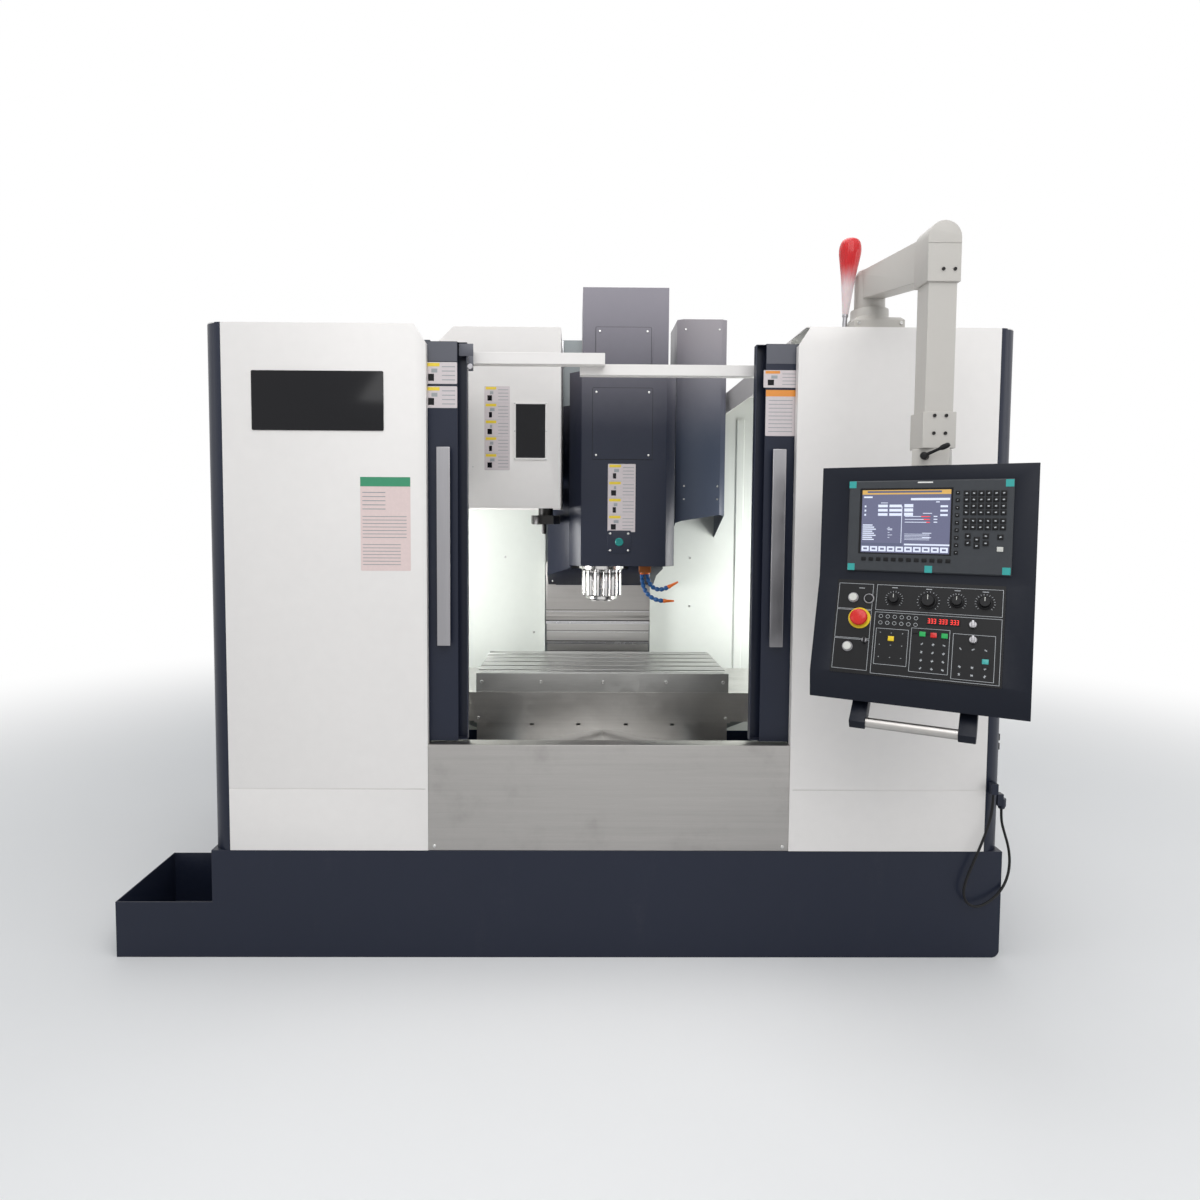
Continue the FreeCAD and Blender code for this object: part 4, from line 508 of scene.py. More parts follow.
def scatter_growth():
    """Sets one shape on each point, faced and turned as the point says, with a loose turn."""
    grow = Growth("set_on_points", Shape="Object", Paint="Material", Size="Float", Turn="Float", Seed="Int")
    given = grow.given
    points = grow.node("GeometryNodeMeshToPoints", values={"Mesh": given["Geometry"]})
    facing = grow.node("GeometryNodeInputNamedAttribute", {"data_type": "FLOAT_VECTOR"}, {"Name": "facing"})
    along = grow.node("GeometryNodeInputNamedAttribute", {"data_type": "FLOAT_VECTOR"}, {"Name": "along"})
    faced = grow.node("FunctionNodeAlignRotationToVector", {"axis": "Z"}, {"Vector": facing})
    turned = grow.node("FunctionNodeAlignRotationToVector", {"axis": "X", "pivot_axis": "Z"},
                       {"Rotation": faced, "Vector": along})
    back = grow.node("ShaderNodeMath", {"operation": "MULTIPLY"}, {0: given["Turn"], 1: -1.0})
    loose = grow.node("FunctionNodeRandomValue", {"data_type": "FLOAT"},
                      {2: back, 3: given["Turn"], "Seed": given["Seed"]}, output=1)
    twist = grow.node("FunctionNodeAxisAngleToRotation", values={"Axis": (0, 0, 1), "Angle": loose})
    rotation = grow.node("FunctionNodeRotateRotation", {"rotation_space": "LOCAL"},
                         {"Rotation": turned, "Rotate By": twist})
    shape = grow.node("GeometryNodeObjectInfo", values={"Object": given["Shape"]}, output="Geometry")
    set_on = grow.node("GeometryNodeInstanceOnPoints", values={
        "Points": points, "Instance": shape, "Rotation": rotation, "Scale": given["Size"]})
    return grow.end(set_on)


SCATTER = scatter_growth()


def grown(source, tree, **values):
    """The plain mesh that a tree makes on a source object."""
    modifier = source.modifiers.new("growth", "NODES")
    modifier.node_group = tree
    for item in tree.interface.items_tree:
        if item.in_out == "INPUT" and item.name in values:
            modifier[item.identifier] = values[item.name]
    bpy.context.view_layer.update()
    graph = bpy.context.evaluated_depsgraph_get()
    mesh = bpy.data.meshes.new_from_object(source.evaluated_get(graph), depsgraph=graph)
    source.modifiers.remove(modifier)
    return mesh


def set_out(name, body, shape, paint, spots, turn=0.0, seed=1):
    """One mesh of a shape set on each spot: a point, the way it faces and its right-hand direction."""
    points = bpy.data.meshes.new(name)
    points.from_pydata([tuple(p * MM) for p, facing, along in spots], [], [])
    for label, column in (("facing", 1), ("along", 2)):
        attribute = points.attributes.new(label, "FLOAT_VECTOR", "POINT")
        attribute.data.foreach_set("vector", [c for spot in spots for c in spot[column]])
    thing = bpy.data.objects.new(name, points)
    bpy.context.scene.collection.objects.link(thing)
    bpy.context.scene.collection.objects.link(shape)
    thing.data = grown(thing, SCATTER, Shape=shape, Paint=PAINTS[paint], Size=1.0, Turn=turn, Seed=seed)
    bpy.data.objects.remove(shape)
    thing.data.materials.clear()
    thing.data.materials.append(PAINTS[paint])
    thing.data.shade_smooth()
    thing.data.set_sharp_from_angle(angle=SHARP)
    return riding(thing, body)


def shape_of(solid):
    """A free object of a solid, to be set on points."""
    return bpy.data.objects.new("shape", solid.mesh("shape"))


def cap_screw(radius, height):
    """A socket cap screw's head with its hexagon socket."""
    solid = Solid()
    solid.lathe("bright_screw", [(radius, 0), (radius, height * 0.75), (radius * 0.86, height),
                                 (radius * 0.52, height), (radius * 0.52, height * 0.35), (0, height * 0.35)],
                sides=18, six=(3, 4))
    return shape_of(solid)


def pan_screw(radius, height):
    """A low domed screw head with a cross."""
    solid = Solid()
    solid.lathe("bright_screw", [(radius, 0), (radius, height * 0.4), (radius * 0.8, height * 0.85),
                                 (radius * 0.4, height), (0, height)], sides=16)
    for x, y in ((radius * 0.5, radius * 0.12), (radius * 0.12, radius * 0.5)):
        solid.block("bright_screw", -x, x, -y, y, height * 0.9, height * 1.06)
    return shape_of(solid)


# ---- the frame's own pieces ------------------------------------------------
BODY_OF = {node: body for body, nodes in frame["record"]["behaviour"]["bodies"].items() for node in nodes}
SLOT_OF = {row["node"]: row["material_slot"] for row in frame["record"]["subparts"]}
FINER = {"head_cover": "head_paint", "cable_duct": "duct_paint", "panel_housing": "housing_paint"}

# The cover behind the table has three stages, the lowest innermost; the head cover carries the top one.
STAGES = (("z_cover_lower", "z_cover_low"), ("z_cover_upper", "z_cover_high"), ("head_cover", "head"))
STAGE_HALF, STAGE_FACE, STAGE_STEP, STAGE_TOP = 244.0, 476.0, 3.0, 1190.0

OUTER_EDGE, SHORTEST_EDGE, BENT_SHARP = math.radians(30.0), 6.0, math.radians(26.0)


def softened(node, width):
    """A node's own faces with their outer edges rounded as bent sheet is, standing for the node."""
    work = bmesh.new()
    work.from_mesh(frame["nodes"][node].data)
    bmesh.ops.remove_doubles(work, verts=work.verts, dist=0.01 * MM)
    bmesh.ops.dissolve_limit(work, angle_limit=math.radians(0.4), verts=work.verts, edges=work.edges)
    outer = [e for e in work.edges if len(e.link_faces) == 2 and e.calc_length() > SHORTEST_EDGE * MM
             and e.calc_face_angle_signed(0.0) > OUTER_EDGE]
    if outer:
        bmesh.ops.bevel(work, geom=outer, offset=width * MM, segments=2, profile=0.5, affect="EDGES",
                        clamp_overlap=False)
    made = bpy.data.meshes.new(node + "_skin")
    work.to_mesh(made)
    work.free()
    made.materials.append(PAINTS[FINER.get(node, SLOT_OF[node])])
    if node == "head_cover":
        made.materials.append(PAINTS["stainless"])
        for face in made.polygons:
            if face.center.y > (STAGE_FACE - 3 * STAGE_STEP) * MM and face.center.z < STAGE_TOP * MM:
                face.material_index = 1
    made.shade_smooth()
    made.set_sharp_from_angle(angle=BENT_SHARP)
    return riding(bpy.data.objects.new(made.name, made), BODY_OF[node], (node,))


for node, thing in frame["nodes"].items():
    thing.data.materials.clear()
    thing.data.materials.append(PAINTS[SLOT_OF[node]])


# ---- camera, light and floor -----------------------------------------------
CAMERA_PLACE = (-111.598, -3222.703, 1404.655)
YAW, PITCH, ROLL = 0.0092, 0.0555, -0.0059
FOCAL, CENTRE_X, CENTRE_Y, FRAME_PX, SENSOR = 769.06, 582.07, 559.77, 1200.0, 36.0
FILL_COLOUR, FILL_STRENGTH = (0.92, 0.96, 1.0, 1.0), 0.45
FLOOR_HALF, FADE_FROM, FADE_TO = 30.0, 2.2, 6.0


def set_camera():
    """The camera where the photograph was taken, a little above the doorway's middle."""
    ahead = Vector((math.sin(YAW) * math.cos(PITCH), math.cos(YAW) * math.cos(PITCH), -math.sin(PITCH)))
    level = Vector((math.cos(YAW), -math.sin(YAW), 0.0))
    down = ahead.cross(level)
    right = level * math.cos(ROLL) + down * math.sin(ROLL)
    below = down * math.cos(ROLL) - level * math.sin(ROLL)
    lens = bpy.data.cameras.new("camera")
    lens.sensor_width = SENSOR
    lens.lens = FOCAL * SENSOR / FRAME_PX
    lens.shift_x = (FRAME_PX / 2 - CENTRE_X) / FRAME_PX
    lens.shift_y = (CENTRE_Y - FRAME_PX / 2) / FRAME_PX
    lens.clip_end = 60.0
    camera = bpy.data.objects.new("camera", lens)
    turn = Matrix((right, -below, -ahead)).transposed().to_4x4()
    camera.matrix_world = Matrix.Translation(Vector(CAMERA_PLACE) * MM) @ turn
    bpy.context.scene.collection.objects.link(camera)
    bpy.context.scene.camera = camera


def soft_light(name, place, aim, width, depth, power):
    """A wide lamp, with its places in metres."""
    lamp = bpy.data.lights.new(name, "AREA")
    lamp.shape, lamp.size, lamp.size_y, lamp.energy = "RECTANGLE", width, depth, power
    thing = bpy.data.objects.new(name, lamp)
    thing.location = place
    thing.rotation_euler = (Vector(aim) - Vector(place)).to_track_quat("-Z", "Y").to_euler()
    bpy.context.scene.collection.objects.link(thing)


def set_world():
    """A soft fill on the machine, and plain white where the room is seen or mirrored."""
    world = bpy.data.worlds.new("room")
    bpy.context.scene.world = world
    world.use_nodes = True
    nodes, links = world.node_tree.nodes, world.node_tree.links
    nodes.clear()
    path = nodes.new("ShaderNodeLightPath")
    seen = path.outputs["Is Camera Ray"]
    for ray in ("Is Glossy Ray", "Is Transmission Ray"):
        either = nodes.new("ShaderNodeMath")
        either.operation = "MAXIMUM"
        links.new(seen, either.inputs[0])
        links.new(path.outputs[ray], either.inputs[1])
        seen = either.outputs[0]
    fill, white = nodes.new("ShaderNodeBackground"), nodes.new("ShaderNodeBackground")
    fill.inputs["Color"].default_value, fill.inputs["Strength"].default_value = FILL_COLOUR, FILL_STRENGTH
    blend, close = nodes.new("ShaderNodeMixShader"), nodes.new("ShaderNodeOutputWorld")
    links.new(seen, blend.inputs[0])
    links.new(fill.outputs[0], blend.inputs[1])
    links.new(white.outputs[0], blend.inputs[2])
    white.inputs["Color"].default_value = (1.0, 1.0, 1.0, 1.0)
    links.new(blend.outputs[0], close.inputs["Surface"])


def set_floor():
    """A plain pale floor that fades into the white ground away from the machine."""
    mesh = bpy.data.meshes.new("floor")
    corners = [(x * FLOOR_HALF, y * FLOOR_HALF, 0.0) for x, y in ((-1, -1), (1, -1), (1, 1), (-1, 1))]
    mesh.from_pydata(corners, [], [(0, 1, 2, 3)])
    floor = bpy.data.objects.new("floor", mesh)
    bpy.context.scene.collection.objects.link(floor)
    paint = Paint("floor_pale", Roughness=0.7)
    cloud = paint.noise(0.8, 3.0)
    paint.feed(Base_Color=paint.tint((0.86, 0.86, 0.86), 0.97 + cloud * 0.04))
    away = paint.node("ShaderNodeVectorMath", {"operation": "LENGTH"}, {0: paint.place}, output="Value")
    path = paint.tree.nodes.new("ShaderNodeLightPath")
    direct = Shade(paint, path.outputs["Is Camera Ray"]).at_least(Shade(paint, path.outputs["Is Glossy Ray"]))
    direct = direct.at_least(Shade(paint, path.outputs["Is Transmission Ray"]))
    glow = paint.tree.nodes.new("ShaderNodeEmission")
    blend = paint.tree.nodes.new("ShaderNodeMixShader")
    out = paint.tree.nodes["Material Output"]
    paint.tree.links.new((away.step(FADE_FROM, FADE_TO) * direct).socket, blend.inputs[0])
    paint.tree.links.new(paint.shader.outputs[0], blend.inputs[1])
    paint.tree.links.new(glow.outputs[0], blend.inputs[2])
    paint.tree.links.new(blend.outputs[0], out.inputs["Surface"])
    mesh.materials.append(paint.material)


set_camera()
set_world()
set_floor()
for lamp_row in (("ceiling_front", (0.2, -3.4, 4.6), (0.0, 0.0, 1.0), 4.5, 2.6, 86.0),
                 ("ceiling_over", (0.2, 0.0, 4.4), (0.0, 0.1, 0.0), 3.4, 2.4, 54.0),
                 ("window_left", (-5.2, -2.8, 2.4), (0.0, 0.0, 1.2), 2.6, 2.6, 17.0),
                 ("window_right", (5.0, -2.6, 2.2), (0.0, 0.0, 1.2), 2.4, 2.4, 30.0),
                 ("high_strip", (0.3, -5.0, 3.4), (0.1, 0.0, 2.0), 3.4, 1.1, 30.0),
                 ("inside_left", (-0.95, -0.30, 1.22), (0.0, 0.54, 1.0), 0.4, 0.4, 11.0),
                 ("inside_right", (1.12, 0.0, 1.10), (0.35, 0.5, 1.15), 0.3, 0.6, 8.5)):
    soft_light(*lamp_row)
bpy.context.scene.view_settings.view_transform = "Standard"


# ---- enclosure -------------------------------------------------------------
FRONT_FACE, SILL_FACE, DOOR_FACE, POST_FACE, WALL_FACE = -840.0, -838.0, -808.0, -790.0, 545.0
MAGAZINE_FACE, PANE_FACE, PANE_FRAME = -380.0, -380.9, -384.0
DUCT_FACE, TABLE_FACE, APRON_FACE = 285.0, -210.0, -213.5
HEAD_FACE, HATCH_FACE = -210.0, -206.5
ARM_FACE, PLINTH_FACE = -1242.0, -814.0
CARD = 0.6


def card(name, body, place, x0, x1, y0, y1, ground, bands):
    """A thin printed card: its ground colour and plain fields on it."""
    solid = Solid(place)
    wide, high = x1 - x0, y1 - y0
    solid.block(ground, x0, x1, y0, y1, 0, CARD, corner=min(3.0, wide * 0.08))
    for paint, u0, u1, v0, v1 in bands:
        solid.block(paint, x0 + wide * u0, x0 + wide * u1, y0 + high * v0, y0 + high * v1,
                    CARD - 0.1, CARD + 0.2)
    solid.piece(name, body)


def lines(count, v0, v1, u0=0.1, u1=0.9):
    """Thin even lines that fill a part of a card."""
    pitch = (v1 - v0) / count
    return [("card_grey", u0, u1, v0 + (k + 0.35) * pitch, v0 + (k + 0.55) * pitch) for k in range(count)]


def cells(count, header):
    """A column of cells: a small header and a plain figure on the left, lines on the right."""
    bands, high = [], 1.0 / count
    for k in range(count):
        low = k * high
        bands += [(header, 0.05, 0.47, low + 0.80 * high, low + 0.96 * high),
                  ("gloss_black", 0.12 + 0.06 * (k % 2), 0.30, low + 0.14 * high, low + 0.46 * high),
                  ("card_grey", 0.22, 0.40 - 0.05 * (k % 3), low + 0.52 * high, low + 0.70 * high)]
        bands += lines(4, low + 0.10 * high, low + 0.90 * high, 0.54, 0.94)
        bands.append(("card_grey", 0.02, 0.98, low, low + 0.012 * high))
    return bands


def dress_front():
    """The plates, cards and small fittings of the front panels and the doors."""
    face, doors = front(FRONT_FACE), front(DOOR_FACE)
    plate = Solid(face)
    plate.block("gloss_black", -1103, -700, 1665, 1846, 0, 2.5, corner=4.0, edge=0.6)
    plate.piece("left_panel_plate", "machine")
    card("left_panel_card", "machine", face, -774, -620, 1235, 1524, "card_pink",
         [("card_green", 0.0, 1.0, 0.90, 1.0)] + lines(5, 0.64, 0.86, 0.04, 0.5)
         + lines(7, 0.34, 0.60, 0.04, 0.92) + lines(7, 0.05, 0.30, 0.04, 0.8))
    for name, body, x0, x1, z0, z1, bands in (
            ("left_door_card_high", "door_left", -582, -480, 1814, 1881, cells(1, "card_yellow")),
            ("left_door_card_low", "door_left", -582, -480, 1740, 1807, cells(1, "card_yellow")),
            ("right_door_card_high", "door_right", 472, 580, 1810, 1864, cells(1, "card_orange")),
            ("right_door_card_low", "door_right", 480, 573, 1661, 1803,
             [("card_orange", 0.0, 1.0, 0.86, 1.0)] + lines(9, 0.06, 0.82))):
        card(name, body, doors, x0, x1, z0, z1, "card_blush", bands)
    for body, x0, x1 in (("door_left", -1093.0, -480.5), ("door_right", 480.5, 1093.0)):
        strip = Solid(doors)
        strip.block("strip_grey", x0, x1, 1884, 1943.5, 0, 0.8)
        strip.piece(body + "_head_strip", body)
    bracket = Solid(doors)
    for x0, z0, z1 in ((-476, 1902, 1940), (-446, 1856, 1904)):
        bracket.block("strip_grey", x0, -431, z0, z1, -12, -8.5, edge=0.8)
    bracket.lathe("handle_metal", [(0, -8.5), (9, -8.5), (9, 1.5), (7.5, 3.0), (0, 3.0)], (-440, 1868, 0), 28)
    bracket.piece("left_door_stop", "door_left")
    clips = Solid(front(POST_FACE))
    for z in (676.0, 706.0):
        clips.block("seal_black", 1249, 1258, z - 11, z + 11, -8, 8, edge=1.5)
    clips.piece("corner_clips", "machine")


def dress_magazine():
    """The magazine cover's card and dark pane, and the screws round them."""
    face = front(MAGAZINE_FACE)
    card("magazine_card", "machine", face, -446, -353, 1575, 1880, "card_blush", cells(5, "card_yellow"))
    pane = Solid(front(PANE_FACE))
    pane.block("gloss_black", -330.5, -223.5, 1620.5, 1815.5, 0.6, 2.4)
    pane.piece("magazine_pane", "machine")
    spots = [front(PANE_FRAME).spot(x, z) for x in (-334.5, -219.5) for z in (1617, 1718, 1819)]
    spots += [face.spot(x, z) for x, z in ((-488, 1587), (-590, 1470), (-590, 2000))]
    set_out("magazine_screws", "machine", pan_screw(3.0, 2.0), "bright_screw", spots, 1.5, 3)


def dress_screws():
    """The screws of the sill, the back wall, the duct, the table and the cover before it."""
    wall = ((453, 1207), (453, 970), (-312, 837), (-453, 1207), (-312, 600))
    for name, body, screw, turn, seed, places in (
            ("panel_screws", "machine", pan_screw(5.5, 2.8), 1.5, 4,
             [(x, SILL_FACE, 362) for x in (-552, 552)] + [(x, WALL_FACE, z) for x, z in wall]),
            ("duct_screws", "machine", pan_screw(4.5, 2.6), 1.5, 5,
             [(x, DUCT_FACE, z) for x in (382, 534) for z in (1489, 1548, 2060, 2250)]),
            ("table_bolts", "table", cap_screw(7.0, 7.0), 0.5, 6,
             [(x, TABLE_FACE, 752) for x in (-478, -244, 2, 252, 478)]),
            ("cover_bolts", "table", cap_screw(5.5, 4.0), 0.5, 7, [(x, APRON_FACE, 610) for x in (-490, 490)])):
        set_out(name, body, screw, "bright_screw", [front(y).spot(x, z) for x, y, z in places], turn, seed)


def dress_head():
    """The head cover's two plates, its card, its round plug and their screws."""
    face, hatch = front(HEAD_FACE), front(HATCH_FACE)
    for name, place, x0, x1, z0, z1 in (("head_access_plate", face, -46, 186, 1630, 1905),
                                        ("head_hatch", hatch, -35, 179, 1994, 2138)):
        plate = Solid(place)
        plate.block("seal_black", x0 - 1.5, x1 + 1.5, z0 - 1.5, z1 + 1.5, 0, 0.4, corner=5.0)
        plate.block("head_paint", x0, x1, z0, z1, 0.2, 1.5, corner=4.0)
        plate.piece(name, "head")
    card("head_card", "head", face, 15, 123, 1347, 1612, "card_blush", cells(4, "card_yellow"))
    plug = Solid(Place((61, HEAD_FACE, 1308)))
    plug.block("navy_paint", -46, 46, -45, 45, 0, 2.0, corner=5.0, edge=0.5)
    plug.lathe("plug_teal", [(0, 2), (16, 2), (16, 6), (14, 8), (10, 8), (9, 6), (0, 6)], sides=48)
    plug.piece("head_plug", "head")
    spots = [face.spot(x, z, 1.5) for x, z in ((-32, 1889), (172, 1889), (-32, 1646), (172, 1646))]
    spots += [face.spot(x, z, 2.0) for x, z in ((26, 1341), (96, 1341), (26, 1275), (96, 1275))]
    spots += [hatch.spot(x, 2122, 1.5) for x in (-20, 164)]
    diagonal = Place((-236, 330, 0), (100, -98, 0), (0, 0, 1))
    spots += [diagonal.spot(x, z) for x, z in ((30, 1110), (110, 1190), (30, 1800), (110, 1800))]
    set_out("head_screws", "head", pan_screw(4.5, 2.6), "bright_screw", spots, 1.5, 8)


def dress_z_covers():
    """The bright hem and the dark lip of each stage of the cover behind the table."""
    for stage, (node, body) in enumerate(STAGES):
        low = min(corner[2] for corner in frame["nodes"][node].bound_box) / MM
        half = STAGE_HALF + stage * STAGE_STEP
        hem = Solid(front(STAGE_FACE - stage * STAGE_STEP))
        for paint, up, high in (("ground_steel", 0, 13), ("seal_black", 14, 4), ("ground_steel", 58, 3),
                                ("seal_black", 66, 2)):
            hem.block(paint, -half, half, low + up, low + up + high, 0, 0.3)
        hem.piece(node + "_hem", body)


def ring_of(count, radius, z, facing, along=None, shift=0.0):
    """Spots evenly round the spindle's axis, each turned outwards or along a given way."""
    spots = []
    for k in range(count):
        a = 2 * math.pi * (k + shift) / count
        way = Vector((math.cos(a), math.sin(a), 0))
        spots.append((way * radius + Vector((0, 0, z)), Vector((0, 0, facing)), along or way))
    return spots


def dress_nose():
    """The cartridge's lower end: its bright flange and the ring of coolant bosses."""
    bore, seat, flange, under, top = 48.4, 74.9, 94, 1190, 1540
    solid = Solid()
    solid.lathe("spindle_steel", [(bore, 1061), (62, 1061), (66, 1066), (66, under), (92, under),
                                  (flange, 1192), (flange, 1229), (seat, 1230), (seat, top), (bore, top),
                                  (bore, 1061)], sides=72)
    solid.piece("cartridge_body", "head", ("spindle_cartridge",))
    boss = Solid()
    boss.lathe("spindle_steel", [(5.0, 1082), (5.0, 1078), (15.0, 1078), (18.9, 1083), (18.9, 1174),
                                 (17.4, 1177), (17.4, 1181), (18.9, 1184), (18.9, 1191), (0, 1191)], sides=28)
    set_out("coolant_bosses", "head", shape_of(boss), "spindle_steel", ring_of(12, 66, 0, 1, shift=0.5))
    set_out("flange_bolts", "head", cap_screw(4.2, 4.0), "black_oxide",
            ring_of(12, 85, under, -1, Vector((1, 0, 0))), 0.5, 9)


COOLANT_ROUTES = (
    ((181, -118, 1180), (182, -121, 1161), (187, -124, 1143), (197, -128, 1128), (211, -132, 1118),
     (228, -136, 1114), (246, -140, 1117), (263, -144, 1125), (302, -150, 1147)),
    ((160, -122, 1180), (160, -124, 1160), (162, -127, 1140), (167, -130, 1121), (176, -133, 1104),
     (189, -137, 1089), (205, -141, 1078), (224, -145, 1072), (243, -148, 1070), (287, -150, 1070)),
)


def smooth_line(name, points):
    """A smooth open curve on the given points, in millimetres."""
    curve = bpy.data.curves.new(name, "CURVE")
    curve.dimensions = "3D"
    spline = curve.splines.new("NURBS")
    spline.points.add(len(points) - 1)
    for point, (x, y, z) in zip(spline.points, points):
        point.co = (x * MM, y * MM, z * MM, 1.0)
    spline.order_u = 3
    spline.use_endpoint_u = True
    return curve


def axis_place(start, end):
    """A place at start whose out direction runs to end."""
    way = (Vector(end) - Vector(start)).normalized()
    side = way.cross(Vector((0, 1, 0))).normalized()
    return Place(start, side, way.cross(side))


def dress_coolant():
    """Two segmented lines from the valve: ball-shaped links, then a tapered nozzle."""
    solid = Solid()
    solid.block("valve_brown", 147, 195, -135, -105, 1182, 1211.5, edge=2.5)
    for x, y in ((181, -118), (160, -122)):
        solid.lathe("orange_tip", [(0, 1174), (8.5, 1174), (9.5, 1176), (9.5, 1183), (0, 1183)], (x, y, 0), 24)
    for route in COOLANT_ROUTES:
        for k, (here, there) in enumerate(zip(route, route[1:])):
            solid.place = axis_place(here, there)
            long = (Vector(there) - Vector(here)).length
            if k < len(route) - 2:
                solid.lathe("hose_blue", [(0, 0), (5.2, 0), (6.2, long * 0.14), (9.0, long * 0.32),
                                          (9.5, long * 0.52), (8.8, long * 0.76), (6.6, long * 0.98),
                                          (6.0, long * 1.06), (0, long * 1.06)], sides=22)
            else:
                solid.lathe("orange_tip", [(0, 0), (8.0, 0), (8.0, 9), (6.6, 11), (3.6, long - 0.5),
                                           (3.1, long), (1.8, long), (1.8, long - 12), (0, long - 12)],
                            sides=26)
    solid.piece("coolant_lines", "head", ("coolant_nozzles",))


# ---- operator arm and panel ------------------------------------------------
PANEL_TURN = math.radians(31.0)
PANEL_POST = Vector((822, -1204, 0))
PANEL_RIGHT = Vector((math.cos(PANEL_TURN), -math.sin(PANEL_TURN), 0))
PANEL_UP = Vector((0, 0, 1))
PANEL_OUT = PANEL_RIGHT.cross(PANEL_UP)
PANEL_FACE = PANEL_POST + PANEL_OUT * 38 - PANEL_RIGHT * 12 + PANEL_UP * 1543


def panel_way(up, out):
    """A way in the panel's own upright plane."""
    return PANEL_UP * up + PANEL_OUT * out


SCREEN = Place(PANEL_FACE, PANEL_RIGHT, panel_way(296, -14))
KEYS = Place(PANEL_FACE + panel_way(-296, 14), PANEL_RIGHT, panel_way(248, -86))
PROFILE_SIDE = Place(PANEL_FACE, PANEL_UP, PANEL_OUT)


def key_cap(wide, high, thick):
    """A push key's cap with soft edges."""
    solid = Solid()
    solid.block("key_black", -wide / 2, wide / 2, -high / 2, high / 2, 0, thick, edge=0.7, steps=2)
    return shape_of(solid)


def mark(wide, high):
    """A thin printed mark."""
    solid = Solid()
    solid.block("line_pale", -wide / 2, wide / 2, -high / 2, high / 2, 0, 0.15)
    return shape_of(solid)


BEZEL, GLASS = 8.8, 7.2
DISPLAY_LEFT, DISPLAY_FOOT, DISPLAY_WIDE, DISPLAY_HIGH = -150, -228, 215, 165


